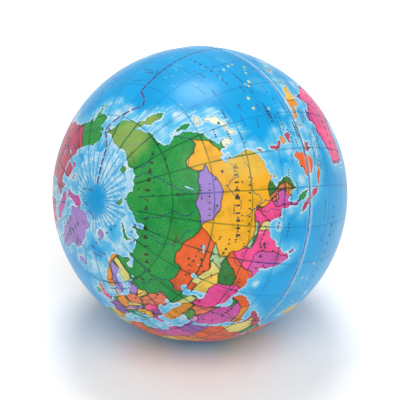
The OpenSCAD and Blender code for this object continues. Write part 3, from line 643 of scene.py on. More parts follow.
def chart(places, side):
    """Flat position on a half's blank of the map's unit vectors, in degrees from its pole."""
    p = np.array(places, float).reshape(-1, 3)
    from_pole = stretched(np.degrees(np.arccos(np.clip(side * p[:, 2], -1, 1))), side)
    from_axis = np.maximum(np.hypot(p[:, 0], p[:, 1]), 1e-9)
    return np.stack([p[:, 0], side * p[:, 1]], 1) * (from_pole / from_axis)[:, None]


def unchart(flat, side):
    """The map's unit vectors of flat positions on a half's blank."""
    found = from_pole = np.hypot(flat[:, 0], flat[:, 1])
    for _ in range(8):
        from_pole = found + from_pole - stretched(from_pole, side)
    turn = np.arctan2(flat[:, 1], flat[:, 0])
    c = np.radians(from_pole)
    return np.stack([np.sin(c) * np.cos(turn), side * np.sin(c) * np.sin(turn), side * np.cos(c)], 1)


def inside(points, polygon):
    """Which flat points a polygon holds, by counting the edges that a ray crosses."""
    low, high = polygon.min(0), polygon.max(0)
    near = np.nonzero(np.all((points > low) & (points < high), 1))[0]
    found = np.zeros(len(points), bool)
    if len(near) == 0:
        return found
    x, y = points[near].T
    held = np.zeros(len(near), bool)
    for (x0, y0), (x1, y1) in zip(polygon, np.roll(polygon, -1, 0)):
        if y0 != y1:
            held ^= ((y0 > y) != (y1 > y)) & (x < (x1 - x0) * (y - y0) / (y1 - y0) + x0)
    found[near] = held
    return found


def printed_rings(radius, seed):
    """Every outline of the print in the order it is laid down, as (kind, ink, unit vectors)."""
    rings = [("land", LAND_INKS[name], ring(text, COAST_ROUGHNESS)) for name, text in LANDS.items()]
    rings += [("ice", "ice", ring(text, COAST_ROUGHNESS)) for text in ICE.values()]
    rings += [("country", ink, ring(text, BORDER_ROUGHNESS)) for _, ink, text in COUNTRIES]
    rings += [("lake", "sea", ring(text, COAST_ROUGHNESS)) for text in LAKES.values()]
    rings += [("river", "river", strip) for strip in ribbons(RIVERS, RIVER_WIDTH_MM / radius)]
    return rings + [(kind, kind, list(m)) for kind, m in printed_marks(radius, seed)]


def spread(candidates, held, gap):
    """Candidates that stay gap away from the held points and from each other."""
    tree = KDTree(len(held))
    for i, (x, y) in enumerate(held):
        tree.insert((x, y, 0), i)
    tree.balance()
    cells, kept = {}, []
    for x, y in candidates:
        if tree.find((x, y, 0))[2] < gap:
            continue
        cell = int(x // gap), int(y // gap)
        around = ((cell[0] + i, cell[1] + j) for i in (-1, 0, 1) for j in (-1, 0, 1))
        beside = (p for key in around for p in cells.get(key, ()))
        if all((x - u) ** 2 + (y - v) ** 2 > gap * gap for u, v in beside):
            cells.setdefault(cell, []).append((x, y))
            kept.append((x, y))
    return kept


def hex_grid(step, reach):
    """Points of a triangular grid that lie within reach of the middle."""
    rows = int(reach / step / ROW_SHARE) + 1
    cols = int(reach / step) + 1
    places = ((i, j) for j in range(-rows, rows + 1) for i in range(-cols, cols + 1))
    grid = [((i + j % 2 / 2) * step, j * step * ROW_SHARE) for i, j in places]
    return [p for p in grid if math.hypot(*p) < reach]


def circle(reach):
    """The points of a round row of the rim."""
    turns = np.arange(RIM_POINTS) * 2 * math.pi / RIM_POINTS
    return np.stack([np.cos(turns), np.sin(turns)], 1) * reach


def cut_blank(side, rings, radius, gap):
    """A half film's flat blank, cut along every printed edge: radius and gap in mm, points in degrees."""
    per_mm = math.degrees(1 / radius)
    edge = 90 - gap / 2 * per_mm
    reach = edge + 2
    points, edges, beside, shapes = [], [], [], []
    for kind, ink, places in rings:
        p = np.array(places)
        if (side * p[:, 2]).max() < -.03:
            continue
        flat = chart(p, side)
        shapes.append((kind, ink, flat))
        near = np.hypot(flat[:, 0], flat[:, 1]) < reach
        after = np.roll(flat, -1, 0)
        start = len(points)
        points += flat.tolist()
        for i in range(len(flat)):
            j = (i + 1) % len(flat)
            if not (near[i] or near[j]):
                continue
            edges.append((start + i, start + j))
            if kind in ("land", "country", "ice"):
                middle, run = (flat[i] + after[i]) / 2, after[i] - flat[i]
                away = np.array((-run[1], run[0])) / max(np.hypot(*run), 1e-9) * SHOULDER
                beside += [middle + away, middle - away]
    held = np.array(points)[sorted({i for e in edges for i in e})]
    held = np.concatenate([held, [(np.array(points[i]) + points[j]) / 2 for i, j in edges]])
    grid = hex_grid(GRID_STEP, edge)
    inner = edge - (RIM_ROWS_MM[-1] + .3) * per_mm
    fill = [p for p in [tuple(b) for b in beside] + grid if math.hypot(*p) < inner]
    for row in (0,) + RIM_ROWS_MM:
        start = len(points)
        points += circle(edge - row * per_mm).tolist()
        edges += [(start + i, start + (i + 1) % RIM_POINTS) for i in range(RIM_POINTS)]
    points += spread(fill, held, KEEP_OFF)
    verts, _, faces, *_ = delaunay_2d_cdt([Vector(p) for p in points], edges, [], 0, 1e-6)
    return np.array([tuple(v) for v in verts]), np.array(faces), shapes, edge


def near(places, sources, radius):
    """Distance in mm from each place to the closest source, both unit vectors."""
    tree = KDTree(len(sources))
    for i, place in enumerate(sources):
        tree.insert(place, i)
    tree.balance()
    return np.array([tree.find(place)[2] for place in places]) * radius


def face_edges(faces):
    """Every edge once, with the one or two faces that it joins (-1 where there is none)."""
    pairs = np.sort(np.concatenate([faces[:, [0, 1]], faces[:, [1, 2]], faces[:, [2, 0]]]), axis=1)
    owners = np.tile(np.arange(len(faces)), 3)
    order = np.lexsort((pairs[:, 1], pairs[:, 0]))
    pairs, owners = pairs[order], owners[order]
    twin = np.all(pairs[1:] == pairs[:-1], 1)
    first = np.concatenate([[True], ~twin])
    edges = pairs[first]
    sides = np.full((len(edges), 2), -1)
    index = np.cumsum(first) - 1
    sides[index[first], 0] = owners[first]
    sides[index[~first], 1] = owners[~first]
    return edges, sides


def sort_faces(centres, shapes):
    """What each face shows: its ink, the region it belongs to, and whether it is sea, ice or land."""
    ink = np.full(len(centres), "sea", dtype=object)
    region = np.zeros(len(centres), int)
    ground = np.zeros(len(centres), int)
    for number, (kind, name, flat) in enumerate(shapes, 1):
        held = inside(centres, flat)
        if kind == "land":
            ground[held] = 2
        elif kind == "ice":
            held &= ground == 0
            ground[held] = 1
        elif kind == "lake":
            ground[held] = 0
        elif kind == "country":
            held &= ground == 2
        if kind in ("land", "ice", "country", "lake"):
            region[held] = number
            ink[held] = name
        elif kind == "type":
            ink[held] = np.where(ground[held] == 2, "dark", "navy")
        elif kind in ("dot", "river"):
            held &= ground == 2
            ink[held] = "dark" if kind == "dot" else "navy"
        elif kind in ("speck", "arc"):
            held &= ground == 0
            ink[held] = "lemon" if kind == "speck" else "shelf"
        else:
            ink[held] = "date line"
    return ink, region, ground


def lining(rim, side_reach):
    """The film's inner face: flat points and triangles that share the rim's points, which come first."""
    fill = hex_grid(LINING_STEP, side_reach - LINING_STEP * .6)
    edges = [(i, (i + 1) % len(rim)) for i in range(len(rim))]
    verts, _, faces, origins, *_ = delaunay_2d_cdt([Vector(p) for p in list(rim) + fill], edges, [], 1, 1e-7)
    if any(len(o) != 1 for o in origins):
        raise RuntimeError("the film's rim met itself")
    return np.array([tuple(v) for v in verts]), np.array(faces), np.array([o[0] for o in origins])


def discs(places, spots):
    """How deep each place lies in the nearest of these spots: 1 in its middle, 0 at 1.5 times its radius."""
    depth = np.zeros(len(places))
    for lat, lon, reach in spots:
        away = np.degrees(np.arccos(np.clip(places @ np.array(unit(lat, lon)), -1, 1)))
        depth = np.maximum(depth, 1 - away / reach / 1.5)
    return depth


def within_rim(verts, faces, edge):
    """The faces that the blank's outer edge holds, on only the points that they use."""
    centres = verts[faces].mean(1)
    sector = np.radians(360 / RIM_POINTS)
    turn = np.arctan2(centres[:, 1], centres[:, 0]) % sector - sector / 2
    faces = faces[np.hypot(*centres.T) * np.cos(turn) < edge * math.cos(sector / 2)]
    used, faces = np.unique(faces, return_inverse=True)
    return verts[used], faces.reshape(-1, 3)


def coast_and_border(faces, region, ground):
    """The edges between land and water, and those between two countries."""
    edges, owners = face_edges(faces)
    joined = owners[:, 1] >= 0
    a, b = owners[joined].T
    coast = edges[joined][(ground[a] == 2) != (ground[b] == 2)]
    border = edges[joined][(ground[a] == 2) & (ground[b] == 2) & (region[a] != region[b])]
    return coast, border, np.unique(edges[~joined])


def lined(verts, rim, edge):
    """The lining's own flat points, and its faces, which are numbered after the outer face's points."""
    rim = rim[np.argsort(np.arctan2(verts[rim, 1], verts[rim, 0]))]
    flat, backs, origin = lining(verts[rim], edge)
    number = np.where(origin < len(rim), rim[np.minimum(origin, len(rim) - 1)], 0)
    new = origin >= len(rim)
    number[new] = len(verts) + np.arange(new.sum())
    return flat[new], number[backs][:, ::-1]


def store(mesh, name, kind, domain, field, values):
    """Adds an attribute to a mesh."""
    mesh.attributes.new(name, kind, domain).data.foreach_set(field, values.astype(np.float32).ravel())


def film_mesh(name, side, rings, radius, gap, inks):
    """A half film's blank in its true flat size, with its print as attributes, ready to be wrapped."""
    verts, faces, shapes, edge = cut_blank(side, rings, radius, gap)
    verts, faces = within_rim(verts, faces, edge)
    ink, region, ground = sort_faces(verts[faces].mean(1), shapes)
    coast, border, rim = coast_and_border(faces, region, ground)
    places = unchart(verts, side)
    samples = [np.concatenate([places[run[:, 0]], places[run].mean(1)]) for run in (coast, border)]
    back_spots, backs = lined(verts, rim, edge)
    extra = len(back_spots)

    spots = np.concatenate([verts, back_spots])
    every = np.concatenate([faces, backs])
    mesh = bpy.data.meshes.new(name)
    scale = math.radians(1) * radius * MM
    mesh.from_pydata([(x * scale, y * scale, 0) for x, y in spots], [], every.tolist())
    numbers = {
        "shore": near(places, samples[0], radius), "border": near(places, samples[1], radius),
        "shallow": discs(places, SHALLOWS), "faded": discs(places, FADED), "layer": np.zeros(len(verts)),
    }
    for key, values in numbers.items():
        lining_value = float(key == "layer")
        store(mesh, key, "FLOAT", "POINT", "value", np.concatenate([values, np.full(extra, lining_value)]))
    store(mesh, "map", "FLOAT_VECTOR", "POINT", "vector", np.concatenate([places, unchart(back_spots, side)]))
    share = {"sea": 0, "ice": .5}
    colour = {key: (*inks[key], share.get(key, 1)) for key in set(ink)}
    corner = np.array([colour[key] for key in ink] + [colour["sea"]] * len(backs)).repeat(3, 0)
    store(mesh, "ink", "FLOAT_COLOR", "CORNER", "color", corner)
    sheet = .5 + .47 * spots[every] / 90
    sheet[len(faces):] = .93 + .06 * spots[backs] / 90
    mesh.uv_layers.new(name="OFBake").data.foreach_set("uv", sheet.astype(np.float32).ravel())
    return mesh


# ---------------------------------------------------------------- nodes


class Wire:
    """A node's output that takes the signs of arithmetic, each of which adds a Math node behind it."""

    def __init__(self, net, socket):
        self.net, self.socket = net, socket

    def math(self, operation, *others, **settings):
        values = dict(enumerate((self,) + others))
        return self.net.node("ShaderNodeMath", {"operation": operation, **settings}, values)

    def __add__(self, other):
        return self.math("ADD", other)

    def __mul__(self, other):
        return self.math("MULTIPLY", other)

    __radd__, __rmul__ = __add__, __mul__

    def __sub__(self, other):
        return self.math("SUBTRACT", other)

    def __rsub__(self, other):
        return self.net.node("ShaderNodeMath", {"operation": "SUBTRACT"}, {0: other, 1: self})

    def __truediv__(self, other):
        return self.math("DIVIDE", other)

    def __mod__(self, other):
        return self.math("FLOORED_MODULO", other)

    def __gt__(self, other):
        return self.math("GREATER_THAN", other)

    def __abs__(self):
        return self.math("ABSOLUTE")


class Net:
    """A node tree under construction."""

    def __init__(self, tree):
        self.tree = tree

    def node(self, kind, settings=None, values=None, out=0):
        """Adds a node, its settings first and then its sockets' values or wires, and gives one output."""
        item = self.tree.nodes.new(kind)
        for name, value in (settings or {}).items():
            setattr(item, name, value)
        for key, value in (values or {}).items():
            if isinstance(value, Wire):
                self.tree.links.new(value.socket, item.inputs[key])
            else:
                item.inputs[key].default_value = value
        return Wire(self, item.outputs[out])

    def split(self, vector):
        first = self.node("ShaderNodeSeparateXYZ", None, {0: vector})
        return [Wire(self, s) for s in first.socket.node.outputs]

    def join(self, x, y, z):
        return self.node("ShaderNodeCombineXYZ", None, {0: x, 1: y, 2: z})

    def turn(self, vector, axis, angle):
        settings = {"rotation_type": axis + "_AXIS"}
        return self.node("ShaderNodeVectorRotate", settings, {"Vector": vector, "Angle": angle})

    def step(self, value, low, high):
        """0 below low and 1 above high, with a soft change between them."""
        settings = {"interpolation_type": "SMOOTHSTEP", "clamp": True}
        return self.node("ShaderNodeMapRange", settings, {0: value, 1: low, 2: high})

    def mix(self, factor, a, b, blend="MIX"):
        """Colour a turning into colour b."""
        settings = {"data_type": "RGBA", "blend_type": blend, "clamp_factor": True}
        return self.node("ShaderNodeMix", settings, {0: factor, 6: a, 7: b}, 2)

    def noise(self, vector, scale, detail=3, roughness=.5, seed=None):
        """Noise over a vector. A seed picks one of many such noises."""
        values = {"Vector": vector, "Scale": scale, "Detail": detail, "Roughness": roughness}
        if seed is None:
            return self.node("ShaderNodeTexNoise", None, values)
        return self.node("ShaderNodeTexNoise", {"noise_dimensions": "4D"}, {**values, "W": seed})


def shape_tree(name, sizes):
    """A Geometry Nodes tree that takes a geometry, a material and these sizes, as (net, inputs by name)."""
    tree = bpy.data.node_groups.new(name, "GeometryNodeTree")
    tree.interface.new_socket("Geometry", in_out="INPUT", socket_type="NodeSocketGeometry")
    for size in sizes:
        kind = "NodeSocketInt" if size in ("Seed", "Rows", "Columns") else "NodeSocketFloat"
        tree.interface.new_socket(size, in_out="INPUT", socket_type=kind)
    tree.interface.new_socket("Material", in_out="INPUT", socket_type="NodeSocketMaterial")
    tree.interface.new_socket("Geometry", in_out="OUTPUT", socket_type="NodeSocketGeometry")
    net = Net(tree)
    start = tree.nodes.new("NodeGroupInput")
    return net, {s.name: Wire(net, s) for s in start.outputs if s.name}


def end_tree(net, geometry, material):
    """Shades the result smooth, makes it real and gives it its material."""
    smooth = net.node("GeometryNodeSetShadeSmooth", None, {0: geometry})
    real = net.node("GeometryNodeRealizeInstances", None, {0: smooth})
    done = net.node("GeometryNodeSetMaterial", None, {"Geometry": real, "Material": material})
    end = net.tree.nodes.new("NodeGroupOutput")
    net.tree.links.new(done.socket, end.inputs[0])
    return net.tree


def place_in_row(net, aim, reach, put):
    """Where a point at reach along aim stands once the ball is turned and rests at the height Floor."""
    turned = net.turn(aim, "Z", put["Turn"])
    leaned = net.turn(turned, "Y", put["Lean"])
    headed = net.turn(leaned, "Z", put["Heading"])
    x, y, z = net.split(headed)
    height = (z * reach + put["Height"]).math("MAXIMUM", put["Floor"])
    return net.join(x * reach, y * reach, height)


FILM_SIZES = ("Side", "Radius", "Film Thickness", "Rim Width", "Rim Rise", "Seam Gap", "Unevenness", "Turn",
              "Lean", "Heading", "Height", "Seed")


def film_tree():
    """Wraps a half film's flat blank over the ball, raises its rim and flattens it where the ball rests."""
    net, put = shape_tree("Wrap Film", FILM_SIZES)
    x, y, _ = net.split(net.node("GeometryNodeInputPosition"))
    layer = net.node("GeometryNodeInputNamedAttribute", {"data_type": "FLOAT"}, {"Name": "layer"})
    from_pole = (x * x + y * y).math("SQRT")
    turn = from_pole / put["Radius"]
    share = turn.math("SINE") / from_pole.math("MAXIMUM", 1e-9)
    aim = net.join(x * share, y * share * put["Side"], turn.math("COSINE") * put["Side"])

    from_edge = (put["Radius"] * (math.pi / 2) - put["Seam Gap"] * .5) - from_pole
    half = put["Rim Width"] * .5
    bulge = (half * half - (from_edge - half) * (from_edge - half)).math("MAXIMUM", 0).math("SQRT")
    rim = put["Radius"] + put["Rim Rise"] - half + bulge
    waves = net.noise(aim, 3.5, 2, seed=put["Seed"]) - .5
    ripples = net.noise(aim, 11, 2, seed=put["Seed"]) - .5
    calm = net.step(from_edge, .0006, .0025)
    body = put["Radius"] + (waves * 2 + ripples) * put["Unevenness"] * calm
    outer = rim + (body - rim).math("MAXIMUM", 0) * (from_edge > half)
    inner = put["Radius"] - put["Film Thickness"]
    reach = outer + (inner - outer) * layer

    kept = net.node("GeometryNodeStoreNamedAttribute", {"data_type": "FLOAT_VECTOR"},
                    {"Geometry": put["Geometry"], "Name": "globe", "Value": aim})
    put["Floor"] = layer * put["Film Thickness"]
    moved = net.node("GeometryNodeSetPosition", None,
                     {"Geometry": kept, "Position": place_in_row(net, aim, reach, put)})
    return end_tree(net, moved, put["Material"])


FOAM_SIZES = ("Radius", "Bead Radius", "Bead Width", "Waviness", "Floor", "Lean", "Heading", "Turn", "Height",
              "Columns", "Rows", "Seed")


def foam_tree():
    """Moulds the foam body: a ball with the parting line's bead, flattened where it rests."""
    net, put = shape_tree("Mould Foam", FOAM_SIZES)
    grid = net.node("GeometryNodeMeshGrid", None,
                    {"Size X": 1, "Size Y": 1, "Vertices X": put["Columns"], "Vertices Y": put["Rows"]})
    x, y, _ = net.split(net.node("GeometryNodeInputPosition"))
    lat = (y * 2).math("SIGN") * abs(y * 2).math("POWER", 1.5) * (math.pi / 2)
    lon = x * (2 * math.pi)
    girth = lat.math("COSINE")
    aim = net.join(girth * lon.math("COSINE"), girth * lon.math("SINE"), lat.math("SINE"))
    off = abs(lat) * put["Bead Radius"]
    bead = 1 - net.step(off, put["Bead Width"] * .35, put["Bead Width"] * .5)
    waves = net.noise(aim, 6, 3, seed=put["Seed"])
    body = put["Radius"] - waves * put["Waviness"]
    reach = body + (put["Bead Radius"] - body) * bead
    kept = net.node("GeometryNodeStoreNamedAttribute", {"data_type": "FLOAT_VECTOR"},
                    {"Geometry": grid, "Name": "globe", "Value": aim})
    moved = net.node("GeometryNodeSetPosition", None,
                     {"Geometry": kept, "Position": place_in_row(net, aim, reach, put)})
    closed = net.node("GeometryNodeMergeByDistance", None, {"Geometry": moved, "Distance": 1e-5})
    return end_tree(net, closed, put["Material"])


def grown(name, mesh, tree, sizes, material):
    """The plain mesh object that a tree makes of a mesh at these sizes."""
    source = bpy.data.objects.new(name, mesh)
    bpy.context.collection.objects.link(source)
    grow = source.modifiers.new(tree.name, "NODES")
    grow.node_group = tree
    for item in tree.interface.items_tree:
        if item.in_out == "INPUT" and item.name in sizes:
            grow[item.identifier] = sizes[item.name]
        elif item.in_out == "INPUT" and item.name == "Material":
            grow[item.identifier] = material
    depsgraph = bpy.context.evaluated_depsgraph_get()
    result = bpy.data.meshes.new_from_object(source.evaluated_get(depsgraph), preserve_all_data_layers=True,
                                             depsgraph=depsgraph)
    source.modifiers.clear()
    source.data = result
    result.name = name
    bpy.data.meshes.remove(mesh)
    bpy.data.node_groups.remove(tree)
    return source


def attribute(net, name, out):
    """A value that the mesh carries: out 0 is a colour, 1 a vector, 2 a number and 3 an alpha."""
    return net.node("ShaderNodeAttribute", {"attribute_type": "GEOMETRY", "attribute_name": name}, None, out)


def new_material(name):
    """An empty material and its net."""
    material = bpy.data.materials.new(name)
    material.use_nodes = True
    material.node_tree.nodes.clear()
    return material, Net(material.node_tree)


def finish_material(net, fixed, varied, bump, bump_mm):
    """The surface shader: fixed values on its own sockets, varied ones from wires, and a bump in mm."""
    height = net.node("ShaderNodeBump", None, {"Strength": 1.0, "Distance": bump_mm * MM, "Height": bump})
    surface = net.node("ShaderNodeBsdfPrincipled", None, {**fixed, **varied, "Normal": height})
    end = net.tree.nodes.new("ShaderNodeOutputMaterial")
    net.tree.links.new(surface.socket, end.inputs["Surface"])


def line_mask(net, value, spacing, across, width):
    """Lines at every multiple of spacing; across is how many mm one unit of value measures."""
    off = abs((value / spacing + .5) % 1 - .5) * across * spacing
    return 1 - net.step(off, width * .35, width * .75)


class Sheet:
    """What the print's shader knows of a spot on a half film: its place on the map, and its noises."""

    def __init__(self, net, side, radius, inks):
        self.net, self.side, self.inks = net, side, inks
        globe = attribute(net, "globe", 1)
        self.spot = net.node("ShaderNodeVectorMath", {"operation": "SCALE"}, {0: globe, "Scale": radius})
        x, y, z = net.split(attribute(net, "map", 1))
        self.lat = z.math("ARCSINE") / math.radians(1)
        self.lon = y.math("ARCTAN2", x) / math.radians(1)
        self.away = abs(self.lat)
        self.mm = math.radians(1) * radius
        self.mm_round = (1 - z * z).math("MAXIMUM", 0).math("SQRT") * self.mm
        self.shore, self.border = attribute(net, "shore", 2), attribute(net, "border", 2)
        self.shallow, self.faded = attribute(net, "shallow", 2), attribute(net, "faded", 2)
        self.ink = attribute(net, "ink", 0)
        kind = attribute(net, "ink", 3)
        self.land = kind > .75
        self.ice = (kind > .25) - self.land
        self.cloud = net.noise(self.spot, .09, 4, .55)
        self.blot = net.noise(self.spot, .42, 4, .6)
        self.grain = net.noise(self.spot, 2.6, 3, .6)
        self.inshore = 1 - net.step(self.shore, 2, 6)
        depth = self.shallow + (self.blot - .5) * .9 + (self.cloud - .5) * .6
        self.shelf = net.step(depth, .3, .75) * (self.inshore * .6 + .4)
        self.wash = 1 - net.step(self.shore + (self.blot - .5) * 2.4, .5, 2.6)


def sea_colour(sheet):
    """Two blues in soft clouds, a tone for each grid cell, paler shelves, and a pale rim along coasts."""
    net, inks, blot = sheet.net, sheet.inks, sheet.blot
    water = net.mix(net.step(sheet.cloud, .36, .64), inks["sea"], inks["sea_light"])
    cell = net.join((sheet.lat / 15).math("FLOOR"), (sheet.lon / 15).math("FLOOR"), sheet.side)
    tone = net.node("ShaderNodeTexWhiteNoise", {"noise_dimensions": "3D"}, {"Vector": cell})
    toned = net.step(sheet.away, 60, 5) if sheet.side == SOUTH else net.step(sheet.away, 40, 5) * .2
    water = net.mix(tone * toned * .4, water, inks["shelf"])
    water = net.mix(sheet.shelf * .75, water, inks["shelf"])
    banks = net.step(sheet.shallow + (blot - .5) * .7, .6, .95) * sheet.inshore
    water = net.mix(banks * .8, water, inks["ice"])
    water = net.mix(sheet.wash * .8, water, inks["shelf"])
    rays = line_mask(net, sheet.lon, 2.5, sheet.mm_round, .26)
    inked = net.step(sheet.shelf.math("MAXIMUM", sheet.wash), .3, .8) * net.step(blot, .42, .6)
    water = net.mix(rays * inked * net.step(sheet.away, 22, 34) * .6, water, inks["ice"])
    fringe = 1 - net.step(sheet.shore + (sheet.grain - .5) * 1.1, .1, .5)
    return net.mix(fringe * (net.step(blot, .35, .6) * .6 + .25), water, inks["ice"])


def ice_colour(sheet):
    """White with blue lines that fan out from the pole, which itself is a blue disc."""
    net, inks, blot = sheet.net, sheet.inks, sheet.blot
    fan = line_mask(net, sheet.lon, 10, sheet.mm_round, .3)
    thin_fan = line_mask(net, sheet.lon + 3, 10, sheet.mm_round, .16) * net.step(blot, .45, .6)
    cap = net.mix(net.step(blot + (sheet.grain - .5) * .9, .3, .62) * .85, inks["ice"], inks["shelf"])
    cap = net.mix(fan.math("MAXIMUM", thin_fan) * (sheet.grain * .9 + .3), cap, inks["sea"])
    return net.mix(net.step(sheet.away + (blot - .5) * 3, 82.5, 87.5), cap, inks["sea"])


def land_colour(sheet):
    """Each ink mottled by how thickly it lies, with the fine dots of the transfer."""
    net, inks, blot, cloud = sheet.net, sheet.inks, sheet.blot, sheet.cloud
    cool = net.mix((1 - net.step(cloud, .3, .5)) * .45, sheet.ink, inks["cool"], "MULTIPLY")
    thin = net.mix(net.step(cloud + (blot - .5) * .6, .36, .75) * .42, cool, inks["wash"], "SCREEN")
    thick = net.mix(net.step(blot, .45, .72) * .42, thin, inks["shade"], "MULTIPLY")
    bare = net.step(sheet.faded + (blot - .5) * .5 + (sheet.grain - .5) * .25, .1, .6)
    dots = net.step(net.noise(sheet.spot, 7, 2, .5), .54, .66)
    worn = net.mix(dots * (net.step(blot, .6, .4) * .14 + .05), thick, inks["paper"])
    return net.mix(bare * .28, worn, inks["lemon"])


def with_lines(sheet, colour):
    """The colour under the grid of the map, which is blue, and the darker borders and coasts."""
    net, inks = sheet.net, sheet.inks
    meridians = line_mask(net, sheet.lon, 15, sheet.mm_round, .3)
    parallels = line_mask(net, sheet.lat, 15, sheet.mm, .3)
    lines = meridians.math("MAXIMUM", parallels) * (1 - net.step(sheet.away, 72, 73))
    strength = sheet.land * .3 + sheet.shelf.math("MAXIMUM", sheet.wash) * .25 + .3
    colour = net.mix(lines * strength, colour, inks["line"], "MULTIPLY")
    edge = (1 - net.step(sheet.border + (sheet.grain - .5) * .08, .07, .2)) * sheet.land
    colour = net.mix(edge * .7, colour, inks["edge"], "MULTIPLY")
    coast = (1 - net.step(sheet.shore, .04, .16)) * sheet.land
    return net.mix(coast * .5, colour, inks["edge"], "MULTIPLY")


def rubbed_rim(sheet):
    """How much of the print is rubbed off beside the seam."""
    net = sheet.net
    streak = net.noise(net.join(sheet.lon * .35, sheet.lat * 2.2, 0), 1.0, 3, .6)
    from_seam = sheet.away * sheet.mm
    return (1 - net.step(from_seam + (streak - .5) * 1.2, .35, 1.15)) * net.step(streak, .3, .6)


def print_material(name, side, radius, inks):
    """The printed film: sea, ice, inked lands and the map's fine lines, worn and under a satin varnish."""
    material, net = new_material(name)
    sheet = Sheet(net, side, radius, inks)
    water = net.mix(sheet.ice, sea_colour(sheet), ice_colour(sheet))
    colour = with_lines(sheet, net.mix(sheet.land, water, land_colour(sheet)))

    cells = net.node("ShaderNodeTexVoronoi", None, {"Vector": sheet.spot, "Scale": .16})
    pinhole = 1 - net.step(cells, .014, .03)
    rubbed = rubbed_rim(sheet)
    for bare, share in ((pinhole, .8), (rubbed, .6)):
        colour = net.mix(bare * share, colour, inks["ice"])

    unevenly = (sheet.cloud - .5) * .12 + (sheet.grain - .5) * .1
    roughness = unevenly + sheet.land * .03 + rubbed * .15 + .33
    skin = net.noise(sheet.spot, 1.3, 2, .5)
    dents = net.noise(sheet.spot, .3, 2, .5)
    finish_material(net, {"Coat Roughness": .2, "IOR": 1.46, "Specular IOR Level": .18},
                    {"Base Color": colour, "Roughness": roughness, "Coat Weight": .11 - rubbed * .08},
                    skin * .35 + dents + sheet.land * .08, .05)
    return material


def foam_material(radius, inks):
    """Skinned foam with fine cells. Where it shows in the seam's groove it is coloured deep blue: partly a
    stain of the print's ink, partly painted shade of the groove.
    """
    material, net = new_material("moulded_foam")
    globe = attribute(net, "globe", 1)
    spot = net.node("ShaderNodeVectorMath", {"operation": "SCALE"}, {0: globe, "Scale": radius})
    _, _, z = net.split(globe)
    cells = net.node("ShaderNodeTexVoronoi", None, {"Vector": spot, "Scale": 3.2})
    cloud = net.noise(spot, .35, 4, .6)
    # The groove's deep blue: partly the print's ink stain, partly painted shade where the groove lies in
    # shadow.
    groove_ink_and_shade = 1 - net.step(abs(z) * radius, .3, 1.2)
    body = net.mix(cells, inks["foam"], inks["foam_shade"])
    colour = net.mix(groove_ink_and_shade * (net.step(cloud, .25, .6) * .4 + .55), body, inks["sea_deep"])
    finish_material(net, {"IOR": 1.45}, {"Base Color": colour, "Roughness": .72 + cloud * .12}, cells, .06)
    return material


def floor_material():
    """Matt white sweep of card."""
    material, net = new_material("white_card")
    spot = net.node("ShaderNodeTexCoord", None, None, 3)
    fleck = net.noise(spot, 180, 3, .5)
    colour = net.mix(fleck, (.9, .9, .9, 1), (.94, .94, .94, 1))
    finish_material(net, {}, {"Base Color": colour, "Roughness": .85 + fleck * .1}, fleck, .02)
    return material


# ---------------------------------------------------------------- settings


def linear(code):
    """Scene-linear colour of a display colour written as a hex code."""
    parts = [int(code[i:i + 2], 16) / 255 for i in (0, 2, 4)]
    return tuple(v / 12.92 if v < .04045 else ((v + .055) / 1.055) ** 2.4 for v in parts)


INK_CODES = {
    "sea": ("Deep sea", "0090CA"), "sea_light": ("Open sea", "0099D6"),
    # The seam's ink: a deep blue in the seam's groove, partly ink stain and partly painted shade.
    "sea_deep": ("Seam ink and painted groove shade", "0B5FA0"), "shelf": ("Shelf sea", "56B2D8"),
    "ice": ("Ice and unprinted film", "C2D9E0"), "line": ("Grid line", "3D9FC4"),
    "edge": ("Border line", "4A3442"), "wash": ("Thin ink", "5C5C38"), "cool": ("Cool ink", "A8D8F0"),
    "paper": ("Paper", "D3DBC8"), "shade": ("Thick ink", "A8A296"), "foam": ("Foam", "E9E4D4"),
    "foam_shade": ("Foam cells", "B7B3A6"), "green": ("Green", "008A38"),
    "leaf": ("Leaf green", "439343"), "forest": ("Forest green", "0A6928"), "mint": ("Mint", "97BD8A"),
    "yellow": ("Yellow", "E2A200"), "amber": ("Amber", "E7BA48"), "lemon": ("Lemon", "D8CA72"),
    "orange": ("Orange", "DC841D"), "red": ("Red", "DB5218"), "coral": ("Coral", "D86B4D"),
    "crimson": ("Crimson", "B82D5C"), "pink": ("Pink", "EA4089"), "magenta": ("Magenta", "C3489D"),
    "violet": ("Violet", "8A4DA1"), "lavender": ("Lavender", "9777C1"), "rose": ("Rose", "CB8AB3"),
    "dark": ("Type on land", "2A2E22"), "navy": ("Type at sea", "173A66"),
    "date line": ("Date line", "5A3A78"),
}


def ink_key(name):
    """The property that holds an ink."""
    return name.replace(" ", "_")


class BallInks(bpy.types.PropertyGroup):
    """The colours that the ball is printed in."""

    __annotations__ = {
        ink_key(name): FloatVectorProperty(name=label, description=f"{label} of the print", subtype="COLOR",
                                           size=3, min=0, max=1, default=linear(code))
        for name, (label, code) in INK_CODES.items()
    }

    def table(self):
        """Every ink by its name."""
        return {name: tuple(getattr(self, ink_key(name))) for name in INK_CODES}


def length_property(label, description, default_mm):
    """A length that the panel shows, given in mm."""
    return FloatProperty(name=label, description=description, default=default_mm * MM, min=0, precision=5,
                         unit="LENGTH")


class BallSizes(bpy.types.PropertyGroup):
    """The sizes of the ball's layers."""

    film_thickness: length_property("Film thickness", "Thickness of each printed half film", .3)
    bond_gap: length_property("Bond line", "Glue between the films and the foam", .03)
    seam_gap: length_property("Seam gap", "Gap between the two films' edges", .5)
    groove_depth: length_property("Groove depth", "From the films' face down to the foam's bead", .14)
    rim_width: length_property("Rim width", "Width of each film's thickened edge", .8)
    rim_rise: length_property("Rim rise", "Height of the rim above the ball", .1)
    unevenness: length_property("Unevenness", "How far the skin strays from a true ball", .03)
    top_longitude: FloatProperty(name="Longitude on top", description="Meridian that comes uppermost",
                                 default=math.radians(171), subtype="ANGLE")
    seed: IntProperty(name="Seed", description="Picks the unevenness and the small print", default=7, min=0)


def ball_size():
    """The ball's radius and the height of its middle, from the CAD film."""
    low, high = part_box("north_film")
    return -low.x, high.z + low.x


